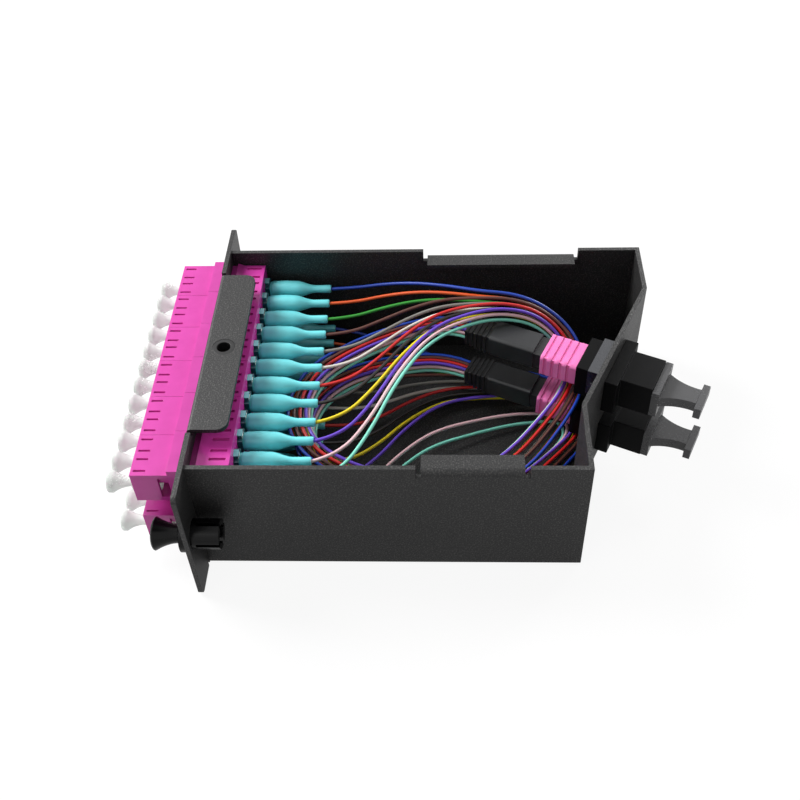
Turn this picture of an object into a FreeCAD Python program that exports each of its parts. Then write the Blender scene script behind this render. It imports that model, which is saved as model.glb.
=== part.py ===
import FreeCAD, Part
import math
import os
import Sketcher

# Fibre breakout cassette: a folded sheet tray with two rows of six duplex LC adapters in its front plate
# and two MPO adapters in its angled rear wall, joined inside by twenty-four buffered fibres.
# X runs across the front plate, +Y from the front plate into the tray, +Z up. The origin is on the
# underside, at the middle of the front plate's rear face. All lengths are millimetres.

SIZES = {
    # folded sheet tray
    "sheet": 1.2,
    "bend": 1.0,
    "plate_width": 99.4,
    "plate_height": 38.0,
    "plate_corner": 1.6,
    "ear": 9.75,
    "row_gap": 0.26,
    "wall_drop": 0.7,
    "far_depth": 113.9,
    "near_depth": 94.2,
    "far_flat": 17.45,
    "near_flat": 20.15,
    "bend_relief": 0.9,
    "top_tab_width": 56.8,
    "top_tab_depth": 8.5,
    "top_tab_corner": 2.8,
    "cover_hole": 5.8,
    "cover_hole_depth": 3.7,
    "side_tab_drop": 1.3,
    "side_tab_bend": 2.0,
    "side_tab_round": 1.7,
    "near_tab_start": 54.7,
    "near_tab_end": 78.7,
    "far_tab_start": 55.3,
    "far_tab_end": 95.9,
    "side_tab_reach": 5.5,
    "side_tab_relief": 1.2,
    # clinch nut in the top tab
    "nut_flange": 7.4,
    "nut_depth": 2.6,
    "nut_bore": 3.5,
    "nut_floor": 0.7,
    # duplex LC adapters
    "lc_count": 6,
    "lc_seam": 0.08,
    "port_share": 0.4871,
    "lc_height": 9.4,
    "lc_below_axis": 3.3,
    "upper_axis_drop": 11.0,
    "lower_axis_share": 0.3053,
    "lc_front": 13.9,
    "lc_recess_front": 7.5,
    "lc_flange_front": 4.9,
    "lc_flange_rise": 1.4,
    "lc_side_recess": 0.9,
    "lc_recess_edge": 1.3,
    "lc_rear": 9.25,
    "lc_rib_start": 1.6,
    "lc_rib_end": 3.4,
    "lc_rib_rise": 0.8,
    "lc_slit": 0.6,
    "lc_slit_depth": 0.5,
    "lc_slit_offset": 1.8,
    "lc_slit_start": 10.3,
    "lc_slit_end": 13.2,
    "lc_rear_slit": 0.9,
    "lc_rear_slit_start": 4.2,
    "lc_rear_slit_end": 8.3,
    "cutout_gap": 0.15,
    "port_size": 4.8,
    "port_key": 2.6,
    "port_key_rise": 1.3,
    "port_web": 1.2,
    "ferrule": 1.25,
    "ferrule_gap": 0.15,
    # LC plugs, boots and dust caps
    "plug_size": 4.5,
    "plug_end": 10.5,
    "plug_lever": 2.2,
    "barrel": 5.0,
    "barrel_lip": 0.4,
    "barrel_end": 16.6,
    "shoulder_end": 22.6,
    "shoulder_curve": 6.8,
    "neck": 2.3,
    "boot_end": 27.7,
    "cap_stem": 2.5,
    "cap_flare_start": 15.6,
    "cap_flare": 5.0,
    "cap_rim": 5.5,
    "cap_rim_start": 19.6,
    "cap_front": 20.8,
    "cap_spigot": 6.0,
    # MPO adapters, plugs and dust caps, along their own axis from the angled wall's outer face
    "mpo_offset": 0.5,
    "mpo_drop": 0.35,
    "mpo_width": 12.2,
    "mpo_height": 9.4,
    "mpo_gap": 0.15,
    "mpo_inner": 8.4,
    "mpo_outer": 11.7,
    "mpo_outer_width": 11.6,
    "mpo_flange_width": 17.3,
    "mpo_flange_height": 10.4,
    "mpo_flange": 3.4,
    "mpo_cavity_width": 9.6,
    "mpo_cavity_height": 6.6,
    "mpo_web_start": 1.0,
    "mpo_web": 1.0,
    "clip_sheet": 0.5,
    "clip_start": 5.1,
    "clip_length": 3.4,
    "clip_leg": 3.0,
    "clip_tongue": 0.6,
    "clip_tongue_height": 2.4,
    "housing_end": 33.6,
    "housing_front": 20.9,
    "housing_width": 7.8,
    "housing_height": 6.6,
    "core_width": 7.2,
    "core_height": 4.4,
    "core_tip": 3.0,
    "mpo_ferrule_width": 6.4,
    "mpo_ferrule_height": 2.5,
    "sleeve_end": 18.5,
    "sleeve_tip": 4.6,
    "sleeve_width": 10.1,
    "sleeve_height": 6.7,
    "sleeve_gap": 0.3,
    "sleeve_corner": 1.0,
    "groove": 0.9,
    "groove_pitch": 2.1,
    "groove_count": 4,
    "groove_depth": 0.35,
    "mpo_boot_end": 41.0,
    "mpo_boot_tip_width": 5.8,
    "mpo_boot_tip_height": 3.9,
    "mpo_boot_rib": 0.8,
    "mpo_boot_ribs": 5,
    "mpo_cap_collar": 1.9,
    "mpo_cap_width": 12.3,
    "mpo_cap_height": 8.0,
    "mpo_cap_spigot": 5.0,
    "mpo_cap_gap": 0.3,
    "fin_thickness": 3.0,
    "fin_root": 9.6,
    "fin_neck": 5.3,
    "fin_curve": 14.0,
    "fin_end": 22.3,
    "bar_length": 9.3,
    "bar_width": 1.8,
    "bar_thickness": 3.3,
    # push-pull latches
    "latch_inset": 4.9,
    "knob": 8.2,
    "knob_front": 9.8,
    "knob_rim": 9.0,
    "knob_neck": 4.6,
    "knob_face": 7.0,
    "knob_curve": 7.0,
    "neck_gap": 0.7,
    "shank": 4.0,
    "shank_end": 6.2,
    "grommet_flange": 9.0,
    "grommet_front": 2.7,
    "grommet_barrel": 7.4,
    "grommet_end": 6.8,
    "grommet_gap": 0.25,
    "grommet_slot": 1.0,
    "grommet_seat": 0.1,
    # fibres
    "fibre": 0.9,
}


class Size:
    """A length held in the sheet, or a sum or product of such lengths, with its text for setExpression."""

    def __init__(self, text, value):
        self.text = text
        self.value = value

    def joined(self, sign, other, swap=False):
        other = other if isinstance(other, Size) else Size(repr(other), other)
        left, right = (other, self) if swap else (self, other)
        results = {
            "+": left.value + right.value,
            "-": left.value - right.value,
            "*": left.value * right.value,
        }
        return Size(f"({left.text} {sign} {right.text})", results[sign])

    def __add__(self, other):
        return self.joined("+", other)

    def __radd__(self, other):
        return self.joined("+", other, swap=True)

    def __sub__(self, other):
        return self.joined("-", other)

    def __rsub__(self, other):
        return self.joined("-", other, swap=True)

    def __mul__(self, other):
        return self.joined("*", other)

    def __rmul__(self, other):
        return self.joined("*", other, swap=True)

    def __truediv__(self, number):
        return Size(f"({self.text} / {number})", self.value / number)

    def __neg__(self):
        return Size(f"(0 - {self.text})", -self.value)


doc = FreeCAD.newDocument("FibreCassette")
sheet = doc.addObject("Spreadsheet::Sheet", "Sizes")
for line, (alias, number) in enumerate(SIZES.items(), start=1):
    sheet.set(f"A{line}", alias)
    sheet.set(f"B{line}", str(number))
    sheet.setAlias(f"B{line}", alias)
doc.recompute()

NODES = []


def size(alias):
    return Size(f"Sizes.{alias}", float(sheet.get(alias)))


def number(length):
    return length.value if isinstance(length, Size) else float(length)


def bind(thing, prop, length):
    """Set a property of a feature, tied to the sheet where the length comes from it."""
    if isinstance(length, Size):
        thing.setExpression(prop, length.text)
    else:
        thing.setExpression(prop, repr(float(length)))


def new_body(label):
    body = doc.addObject("PartDesign::Body", label)
    body.Label = label
    body.AllowCompound = True
    NODES.append(body)
    return body


def place(body, x, y, z, turn=0.0):
    """Put a body at a point, turned about Z by an angle in degrees."""
    rotation = FreeCAD.Rotation(FreeCAD.Vector(0, 0, 1), turn)
    body.Placement = FreeCAD.Placement(FreeCAD.Vector(0, 0, 0), rotation)
    for axis, length in (("x", x), ("y", y), ("z", z)):
        bind(body, f"Placement.Base.{axis}", length)


def datum(body, role):
    return next(item for item in body.Origin.OriginFeatures if item.Role == role)


def new_sketch(body, name, plane, shift=0.0, turn=0.0):
    """A sketch on an origin plane of its body, moved along the plane's normal and turned in it."""
    sketch = body.newObject("Sketcher::SketchObject", name)
    sketch.AttachmentSupport = [(datum(body, plane), "")]
    sketch.MapMode = "FlatFace"
    rotation = FreeCAD.Rotation(FreeCAD.Vector(0, 0, 1), turn)
    sketch.AttachmentOffset = FreeCAD.Placement(FreeCAD.Vector(0, 0, number(shift)), rotation)
    bind(sketch, "AttachmentOffset.Base.z", shift)
    return sketch


def hold(sketch, kind, *target, length):
    """A dimension of a sketch, tied to the sheet."""
    index = sketch.addConstraint(Sketcher.Constraint(kind, *target, number(length)))
    if isinstance(length, Size):
        sketch.setExpression(f"Constraints[{index}]", length.text)


def arc_between(start, end, radius, side):
    """The arc from start to end whose centre lies to the left (side 1) or right (side -1) of the way."""
    chord = end - start
    middle = (start + end) * 0.5
    left = FreeCAD.Vector(-chord.y, chord.x, 0).normalize()
    rise = math.sqrt(max(radius**2 - (chord.Length / 2) ** 2, 0.0))
    centre = middle + left * (side * rise)
    first, last = (start, end) if side > 0 else (end, start)
    angles = [math.atan2(point.y - centre.y, point.x - centre.x) for point in (first, last)]
    circle = Part.Circle(centre, FreeCAD.Vector(0, 0, 1), radius)
    return Part.ArcOfCircle(circle, angles[0], angles[1])


def add_outline(sketch, points):
    """A closed outline. A point is (across, up), or (across, up, radius, side) where an arc leaves it."""
    corners = [FreeCAD.Vector(number(point[0]), number(point[1]), 0) for point in points]
    ends = []
    for index, point in enumerate(points):
        start = corners[index]
        end = corners[(index + 1) % len(points)]
        if len(point) == 4:
            geometry = sketch.addGeometry(arc_between(start, end, number(point[2]), point[3]), False)
            ends.append((geometry, 1, 2) if point[3] > 0 else (geometry, 2, 1))
        else:
            geometry = sketch.addGeometry(Part.LineSegment(start, end), False)
            ends.append((geometry, 1, 2))
    for index, (geometry, _, end) in enumerate(ends):
        follower, start, _ = ends[(index + 1) % len(ends)]
        sketch.addConstraint(Sketcher.Constraint("Coincident", geometry, end, follower, start))
    for (geometry, start, _), point in zip(ends, points):
        hold(sketch, "DistanceX", -1, 1, geometry, start, length=point[0])
        hold(sketch, "DistanceY", -1, 1, geometry, start, length=point[1])
        if len(point) == 4:
            hold(sketch, "Radius", geometry, length=point[2])


def add_rectangle(sketch, left, right, bottom, top):
    add_outline(sketch, [(left, bottom), (right, bottom), (right, top), (left, top)])


def add_circle(sketch, across, up, diameter):
    centre = FreeCAD.Vector(number(across), number(up), 0)
    circle = Part.Circle(centre, FreeCAD.Vector(0, 0, 1), number(diameter) / 2)
    index = sketch.addGeometry(circle, False)
    hold(sketch, "DistanceX", -1, 1, index, 3, length=across)
    hold(sketch, "DistanceY", -1, 1, index, 3, length=up)
    hold(sketch, "Diameter", index, length=diameter)


def extrude(body, kind, sketch, length, reverse=False, both=False):
    """A pad or pocket of a sketch, on one side of it or half to each side."""
    feature = body.newObject(f"PartDesign::{kind}", f"{kind}_{sketch.Name}")
    feature.Profile = sketch
    bind(feature, "Length", length)
    feature.Reversed = reverse
    feature.SideType = "Symmetric" if both else "One side"
    body.Tip = feature
    return feature


def block(body, name, xs, ys, zs):
    """A box-shaped pad from three pairs of limits."""
    sketch = new_sketch(body, name, "XY_Plane", shift=zs[0])
    add_rectangle(sketch, xs[0], xs[1], ys[0], ys[1])
    return extrude(body, "Pad", sketch, zs[1] - zs[0])


def cut_block(body, name, xs, ys, zs):
    """A box-shaped pocket from three pairs of limits."""
    sketch = new_sketch(body, name, "XY_Plane", shift=zs[0])
    add_rectangle(sketch, xs[0], xs[1], ys[0], ys[1])
    return extrude(body, "Pocket", sketch, zs[1] - zs[0], reverse=True)


def turn(body, name, points, kind="Revolution"):
    """A solid of revolution about Y from an outline of (radius, along) points."""
    sketch = new_sketch(body, name, "XY_Plane")
    add_outline(sketch, points)
    feature = body.newObject(f"PartDesign::{kind}", f"{kind}_{name}")
    feature.Profile = sketch
    feature.ReferenceAxis = (datum(body, "Y_Axis"), [""])
    feature.Angle = 360.0
    body.Tip = feature
    return feature


def repeat(body, features, steps):
    """Repeat features along X or Y: each step gives an axis, a count and the length that it spans."""
    patterns = []
    for index, (axis, count, length) in enumerate(steps):
        pattern = body.newObject("PartDesign::LinearPattern", f"{features[0].Name}_row_{index}")
        pattern.Direction = (datum(body, axis), [""])
        pattern.Occurrences = count
        bind(pattern, "Length", length)
        patterns.append(pattern)
    if len(patterns) == 1:
        patterns[0].Originals = features
        body.Tip = patterns[0]
        return patterns[0]
    feature = body.newObject("PartDesign::MultiTransform", f"{features[0].Name}_rows")
    feature.Originals = features
    feature.Transformations = patterns
    body.Tip = feature
    return feature


def edges_where(feature, test):
    """Names of the edges whose end points and middle all pass a test."""
    names = []
    for index, edge in enumerate(feature.Shape.Edges, start=1):
        middle = edge.valueAt((edge.FirstParameter + edge.LastParameter) / 2)
        points = [vertex.Point for vertex in edge.Vertexes] + [middle]
        if all(test(point) for point in points):
            names.append(f"Edge{index}")
    return names


def near(first, second):
    return abs(first - number(second)) < 0.01


def round_edges(body, base, radius, test):
    """A fillet on the edges of a feature that pass a test."""
    doc.recompute()
    feature = body.newObject("PartDesign::Fillet", f"Fillet_{base.Name}")
    feature.Base = (base, edges_where(base, test))
    bind(feature, "Radius", radius)
    body.Tip = feature
    return feature


sheet_thickness = size("sheet")
tray_width = size("plate_width") - size("ear") * 2
lc_pitch = (tray_width - (sheet_thickness + size("row_gap")) * 2) / SIZES["lc_count"]
port_pitch = lc_pitch * size("port_share")
upper_axis = size("plate_height") - size("upper_axis_drop")
lower_axis = size("plate_height") * size("lower_axis_share")
wall_height = size("plate_height") - size("wall_drop")
rear_turn = math.degrees(math.atan2(
    size("far_depth").value - size("near_depth").value,
    tray_width.value - size("far_flat").value - size("near_flat").value,
))
rear_run = FreeCAD.Vector(math.cos(math.radians(rear_turn)), -math.sin(math.radians(rear_turn)), 0)
rear_normal = FreeCAD.Vector(-rear_run.y, rear_run.x, 0)
angled_start = FreeCAD.Vector(
    size("far_flat").value - tray_width.value / 2, size("far_depth").value, 0
)
angled_end = FreeCAD.Vector(
    tray_width.value / 2 - size("near_flat").value, size("near_depth").value, 0
)
rear_middle = (angled_start + angled_end) * 0.5
rear_origin = rear_middle + rear_run * size("mpo_offset").value


def port_places():
    """The distance of each LC port from the plate's middle, from the far side to the near side."""
    places = []
    count = int(size("lc_count").value)
    for index in range(count):
        middle = lc_pitch * (index - (count - 1) / 2)
        places.extend([middle - port_pitch / 2, middle + port_pitch / 2])
    return places


def make_tray():
    """The whole tray as one folded sheet: front plate with ears and top tab, floor and five-sided wall."""
    body = new_body("cassette_tray")
    side = tray_width / 2
    wall = wall_height
    near_depth = size("near_depth")
    floor = new_sketch(body, "floor_plan", "XY_Plane")
    add_outline(floor, [
        (-side, 0.0),
        (side, 0.0),
        (side, near_depth),
        (side - size("near_flat"), near_depth),
        (size("far_flat") - side, size("far_depth")),
        (-side, size("far_depth")),
    ])
    box = extrude(body, "Pad", floor, wall)
    rounded = round_edges(body, box, size("side_tab_bend"), lambda p: any(
        near(p.x, bend.x) and near(p.y, bend.y) for bend in (angled_start, angled_end)))
    doc.recompute()
    open_faces = [
        f"Face{index}"
        for index, face in enumerate(rounded.Shape.Faces, start=1)
        if near(face.BoundBox.ZMin, wall) or near(face.BoundBox.YMax, 0.0)
    ]
    shell = body.newObject("PartDesign::Thickness", "folded_walls")
    shell.Base = (rounded, open_faces)
    bind(shell, "Value", sheet_thickness)
    shell.Reversed = True
    shell.Mode = "Skin"
    shell.Join = "Intersection"
    body.Tip = shell
    folded = round_edges(body, shell, size("bend"), lambda p: near(p.z, 0.0) and (
        near(abs(p.x), side) or p.y > near_depth.value - sheet_thickness.value / 2))

    plate = new_sketch(body, "front_plate", "XZ_Plane")
    half = size("plate_width") / 2
    add_rectangle(plate, -half, half, 0.0, size("plate_height"))
    slot_half = lc_pitch * size("lc_count") / 2 + size("cutout_gap")
    for axis in (upper_axis, lower_axis):
        bottom = axis - size("lc_below_axis") - size("cutout_gap")
        top = bottom + size("lc_height") + size("cutout_gap") * 2
        add_rectangle(plate, -slot_half, slot_half, bottom, top)
    ear_hole = size("grommet_barrel") + size("grommet_seat") * 2
    for end in (-1, 1):
        add_circle(plate, (half - size("latch_inset")) * end, size("plate_height") / 2, ear_hole)
    plate_pad = extrude(body, "Pad", plate, sheet_thickness)
    round_edges(body, plate_pad, size("plate_corner"), lambda p: (
        near(abs(p.x), half) and (near(p.z, 0.0) or near(p.z, size("plate_height")))))

    top = size("plate_height")
    tab_half = size("top_tab_width") / 2
    tab = new_sketch(body, "top_tab", "XY_Plane", shift=top - sheet_thickness)
    add_rectangle(tab, -tab_half, tab_half, -sheet_thickness, size("top_tab_depth"))
    add_circle(tab, 0.0, size("cover_hole_depth"), size("cover_hole"))
    tab_pad = extrude(body, "Pad", tab, sheet_thickness)
    round_edges(body, tab_pad, size("top_tab_corner"), lambda p: (
        near(abs(p.x), tab_half) and near(p.y, size("top_tab_depth"))))
    relief = size("bend_relief")
    through = (-sheet_thickness * 2, sheet_thickness)
    for name, edge, low, high in (
        ("tab", tab_half, top - sheet_thickness * 1.5, top + relief),
        ("floor", side, -relief, sheet_thickness * 1.5),
    ):
        cut_block(body, f"{name}_relief_near", (edge, edge + relief), through, (low, high))
        last = cut_block(body, f"{name}_relief_far", (-edge - relief, -edge), through, (low, high))
    round_edges(body, last, size("bend"), lambda p: near(p.y, -sheet_thickness) and (
        (near(p.z, top) and abs(p.x) < tab_half.value + 0.01)
        or (near(p.z, 0.0) and abs(p.x) < side.value + 0.01)))

    for name, end, start, stop in (
        ("far", -1, size("far_tab_start"), size("far_tab_end")),
        ("near", 1, size("near_tab_start"), size("near_tab_end")),
    ):
        outer = side * end
        inner = outer - sheet_thickness * end
        tip = outer - size("side_tab_reach") * end
        across = (outer, inner) if end < 0 else (inner, outer)
        reach = (outer, tip) if end < 0 else (tip, outer)
        gap = size("side_tab_relief")
        flap_top = wall - size("side_tab_drop")
        low = flap_top - size("side_tab_bend")
        cut_block(body, f"{name}_notch", across, (start - gap, stop + gap), (low, wall))
        block(body, f"{name}_lip", across, (start, stop), (low, flap_top))
        flap = block(body, f"{name}_flap", reach, (start, stop), (flap_top - sheet_thickness, flap_top))
        round_edges(body, flap, size("side_tab_round"), lambda p, outer=outer, top=flap_top: (
            near(p.x, outer) and near(p.z, top)))
    doc.recompute()

    openings = new_sketch(body, "mpo_openings", "XZ_Plane")
    openings.AttachmentOffset = FreeCAD.Placement(
        FreeCAD.Vector(rear_origin.x, 0, -rear_origin.y),
        FreeCAD.Rotation(FreeCAD.Vector(0, 1, 0), -rear_turn),
    )
    openings.setExpression("AttachmentOffset.Base.z", None)
    half_width = size("mpo_width") / 2 + size("mpo_gap")
    half_height = size("mpo_height") / 2 + size("mpo_gap")
    for row_axis in (upper_axis, lower_axis):
        axis = row_axis - size("mpo_drop")
        add_rectangle(openings, -half_width, half_width, axis - half_height, axis + half_height)
    extrude(body, "Pocket", openings, sheet_thickness * 4, both=True)


def make_cover_nut():
    """The blind clinch nut that the cover's screw goes into, pressed up into the top tab's hole."""
    body = new_body("cover_nut")
    top = size("plate_height")
    bottom = top - sheet_thickness - size("nut_depth")
    for name, kind, diameter, low, high in (
        ("nut_body", "Pad", size("nut_flange"), bottom, top - sheet_thickness),
        ("clinch_ring", "Pad", size("cover_hole"), bottom, top),
        ("screw_bore", "Pocket", size("nut_bore"), bottom + size("nut_floor"), top),
    ):
        sketch = new_sketch(body, name, "XY_Plane", shift=low)
        add_circle(sketch, 0.0, size("cover_hole_depth"), diameter)
        extrude(body, kind, sketch, high - low, reverse=kind == "Pocket")


def cut_cavity(body, name, outline, front, depth, into_y):
    """A pocket with an outline across Y, from a face at a distance along Y, towards +Y or -Y."""
    sketch = new_sketch(body, name, "XZ_Plane", shift=-front)
    add_outline(sketch, outline)
    return extrude(body, "Pocket", sketch, depth, reverse=not into_y)


def rectangle(half_width, half_height, middle=0.0):
    return [
        (middle - half_width, -half_height),
        (middle + half_width, -half_height),
        (middle + half_width, half_height),
        (middle - half_width, half_height),
    ]


def port_outline(middle):
    """An LC port: a square with the keyway for the plug's lever above it."""
    half = size("port_size") / 2
    key = size("port_key") / 2
    return [
        (middle - half, -half),
        (middle + half, -half),
        (middle + half, half),
        (middle + key, half),
        (middle + key, half + size("port_key_rise")),
        (middle - key, half + size("port_key_rise")),
        (middle - key, half),
        (middle - half, half),
    ]


def lc_web():
    """The two faces of the wall inside an LC adapter that holds its alignment sleeves."""
    middle = (size("lc_rear") - size("lc_front")) / 2
    return middle - size("port_web") / 2, middle + size("port_web") / 2


def make_lc_adapter(label, across, axis):
    """A moulded duplex adapter: flange, snap ribs behind the plate, two ports at each end."""
    body = new_body(label)
    place(body, across, 0.0, axis)
    low = -size("lc_below_axis")
    high = low + size("lc_height")
    rise = size("lc_flange_rise")
    side_view = new_sketch(body, "side_view", "YZ_Plane")
    add_outline(side_view, [
        (-size("lc_front"), low),
        (-size("lc_flange_front"), low),
        (-size("lc_flange_front"), low - rise),
        (-sheet_thickness, low - rise),
        (-sheet_thickness, low),
        (size("lc_rear"), low),
        (size("lc_rear"), high),
        (size("lc_rib_end"), high),
        (size("lc_rib_start"), high + size("lc_rib_rise")),
        (size("lc_rib_start"), high),
        (-sheet_thickness, high),
        (-sheet_thickness, high + rise),
        (-size("lc_flange_front"), high + rise),
        (-size("lc_flange_front"), high),
        (-size("lc_front"), high),
    ])
    width = lc_pitch - size("lc_seam")
    extrude(body, "Pad", side_view, width, both=True)
    recess = (-size("lc_recess_front"), -size("lc_flange_front"))
    for name, inner, outer in (
        ("near_recess", width / 2 - size("lc_side_recess"), width / 2 + size("lc_seam")),
        ("far_recess", -width / 2 - size("lc_seam"), size("lc_side_recess") - width / 2),
    ):
        cut_block(body, name, (inner, outer), recess,
                  (low + size("lc_recess_edge"), high - size("lc_recess_edge")))
    web_front, web_rear = lc_web()
    bores = new_sketch(body, "sleeve_bores", "XZ_Plane", shift=-web_rear)
    for end in (-1, 1):
        middle = port_pitch * (end / 2)
        cut_cavity(body, f"front_port_{end + 2}", port_outline(middle), -size("lc_front"),
                   web_front + size("lc_front"), True)
        cut_cavity(body, f"rear_port_{end + 2}", port_outline(middle), size("lc_rear"),
                   size("lc_rear") - web_rear, False)
        add_circle(bores, middle, 0.0, size("ferrule") + size("ferrule_gap") * 2)
        for slit in (-1, 1):
            line = middle + size("lc_slit_offset") * slit
            for name, slit_width, along in (
                ("front_slit", size("lc_slit"), (-size("lc_slit_end"), -size("lc_slit_start"))),
                ("rear_slit", size("lc_rear_slit"), (size("lc_rear_slit_start"), size("lc_rear_slit_end"))),
            ):
                cut_block(body, f"{name}_{end + 2}_{slit + 2}",
                          (line - slit_width / 2, line + slit_width / 2), along,
                          (high - size("lc_slit_depth"), high))
    extrude(body, "Pocket", bores, size("port_web") * 2, both=True)


def make_lc_row(row, axis):
    """The plugs, boots and dust caps of one row, a like set on every port."""
    first = port_places()[0]
    count = int(size("lc_count").value)
    steps = [
        ("X_Axis", 2, port_pitch),
        ("X_Axis", count, lc_pitch * (count - 1)),
    ]
    half = size("plug_size") / 2
    web_rear = lc_web()[1]

    plugs = new_body(f"lc_connectors_{row}")
    place(plugs, first, 0.0, axis)
    nose = web_rear + size("ferrule_gap") * 2
    shell = block(plugs, "plug_shell", (-half, half), (nose, size("plug_end")), (-half, half))
    lever = new_sketch(plugs, "lever", "YZ_Plane")
    tip = half + size("port_key_rise") - size("ferrule_gap") * 2
    add_outline(lever, [
        (nose + half, half - size("ferrule_gap")),
        (size("plug_end") - size("ferrule_gap"), half - size("ferrule_gap")),
        (size("plug_end") - size("ferrule_gap"), tip),
        (size("lc_rear") - half, tip),
    ])
    latch = extrude(plugs, "Pad", lever, size("plug_lever"), both=True)
    ferrule = turn(plugs, "ferrule", [
        (0.0, nose + size("ferrule")),
        (0.0, lc_web()[0]),
        (size("ferrule") / 2, lc_web()[0]),
        (size("ferrule") / 2, nose + size("ferrule")),
    ])
    repeat(plugs, [shell, latch, ferrule], steps)

    boots = new_body(f"lc_boots_{row}")
    place(boots, first, 0.0, axis)
    barrel = size("barrel") / 2
    neck = size("neck") / 2
    lip = size("barrel_lip")
    bottle = turn(boots, "bottle", [
        (0.0, size("plug_end")),
        (barrel - lip, size("plug_end")),
        (barrel, size("plug_end") + lip * 2),
        (barrel, size("barrel_end"), size("shoulder_curve"), 1),
        ((barrel + neck) / 2, (size("barrel_end") + size("shoulder_end")) / 2, size("shoulder_curve"), -1),
        (neck, size("shoulder_end")),
        (neck, size("boot_end")),
        (0.0, size("boot_end")),
    ])
    repeat(boots, [bottle], steps)

    caps = new_body(f"lc_dust_caps_{row}")
    place(caps, first, 0.0, axis)
    spigot_half = half - size("ferrule_gap")
    spigot = block(caps, "spigot", (-spigot_half, spigot_half),
                   (-size("lc_front"), size("cap_spigot") - size("lc_front")), (-spigot_half, spigot_half))
    knob = turn(caps, "knob", [
        (0.0, -size("cap_front")),
        (size("cap_rim") / 2, -size("cap_front")),
        (size("cap_rim") / 2, -size("cap_rim_start"), size("cap_flare"), -1),
        (size("cap_stem") / 2, -size("cap_flare_start")),
        (size("cap_stem") / 2, -size("lc_front")),
        (0.0, -size("lc_front")),
    ])
    repeat(caps, [spigot, knob], steps)


def mpo_body(label, axis):
    """A body on the axis of an MPO port: its Y runs out through the angled wall."""
    body = new_body(label)
    place(body, rear_origin.x, rear_origin.y, axis, turn=-rear_turn)
    return body


def centred(body, name, width, length, height):
    """A block centred on the port's axis between two distances along it."""
    return block(body, name, (-width / 2, width / 2), length, (-height / 2, height / 2))


def round_long_edges(body, base, half_width, half_height, radius):
    return round_edges(body, base, radius, lambda p: (
        near(abs(p.x), half_width) and near(abs(p.z), half_height)))


def make_mpo_adapter(row, axis):
    """The moulded adapter: flange outside the wall, a square tube through it and a web between ports."""
    body = mpo_body(f"mpo_adapter_{row}", axis)
    centred(body, "tube", size("mpo_width"), (-size("mpo_inner"), size("mpo_flange")), size("mpo_height"))
    centred(body, "outer_tube", size("mpo_outer_width"), (size("mpo_flange"), size("mpo_outer")),
            size("mpo_height"))
    centred(body, "flange", size("mpo_flange_width"), (0.0, size("mpo_flange")), size("mpo_flange_height"))
    gap = size("sleeve_gap")
    web_end = size("mpo_web_start") + size("mpo_web")
    cut_cavity(body, "inner_port",
               rectangle(size("sleeve_width") / 2 + gap, size("sleeve_height") / 2 + gap),
               -size("mpo_inner"), size("mpo_inner") + size("mpo_web_start"), True)
    cut_cavity(body, "outer_port",
               rectangle(size("mpo_cavity_width") / 2, size("mpo_cavity_height") / 2),
               size("mpo_outer"), size("mpo_outer") - web_end, False)
    cut_cavity(body, "ferrule_window",
               rectangle(size("mpo_ferrule_width") / 2 + gap, size("mpo_ferrule_height") / 2 + gap),
               web_end, size("mpo_web"), False)


def make_mpo_clip(row, axis):
    """The sprung saddle of sheet metal that holds the adapter against the inside of the wall."""
    body = mpo_body(f"mpo_clip_{row}", axis)
    half = size("mpo_width") / 2
    top = size("mpo_height") / 2
    sheet_clip = size("clip_sheet")
    leg = -size("clip_leg")
    saddle = new_sketch(body, "saddle", "XZ_Plane", shift=size("clip_start") - size("clip_length"))
    add_outline(saddle, [
        (-half - sheet_clip, leg),
        (-half, leg),
        (-half, top),
        (half, top),
        (half, leg),
        (half + sheet_clip, leg),
        (half + sheet_clip, top + sheet_clip),
        (-half - sheet_clip, top + sheet_clip),
    ])
    extrude(body, "Pad", saddle, size("clip_length"))
    tongue = size("clip_tongue")
    for end, name in ((-1, "far_tongue"), (1, "near_tongue")):
        plan = new_sketch(body, name, "XY_Plane")
        edge = (half + sheet_clip) * end
        corners = [
            (edge, -size("clip_start") + tongue),
            (edge + tongue * end, -size("clip_start") + size("clip_length") - tongue),
            (edge, -size("clip_start") + size("clip_length") - tongue),
        ]
        add_outline(plan, corners)
        extrude(body, "Pad", plan, size("clip_tongue_height"), both=True)


def make_mpo_housing(row, axis):
    """The plug's housing: a block behind the sleeve, the core that the sleeve slides on, the ferrule."""
    body = mpo_body(f"mpo_housing_{row}", axis)
    rear = centred(body, "rear_shell", size("housing_width"),
                   (-size("housing_end"), -size("housing_front")), size("housing_height"))
    round_long_edges(body, rear, size("housing_width") / 2, size("housing_height") / 2,
                     size("sleeve_corner"))
    centred(body, "core", size("core_width"), (-size("housing_front"), -size("core_tip")),
            size("core_height"))
    centred(body, "ferrule", size("mpo_ferrule_width"), (-size("core_tip"), size("mpo_web_start") / 2),
            size("mpo_ferrule_height"))


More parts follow.
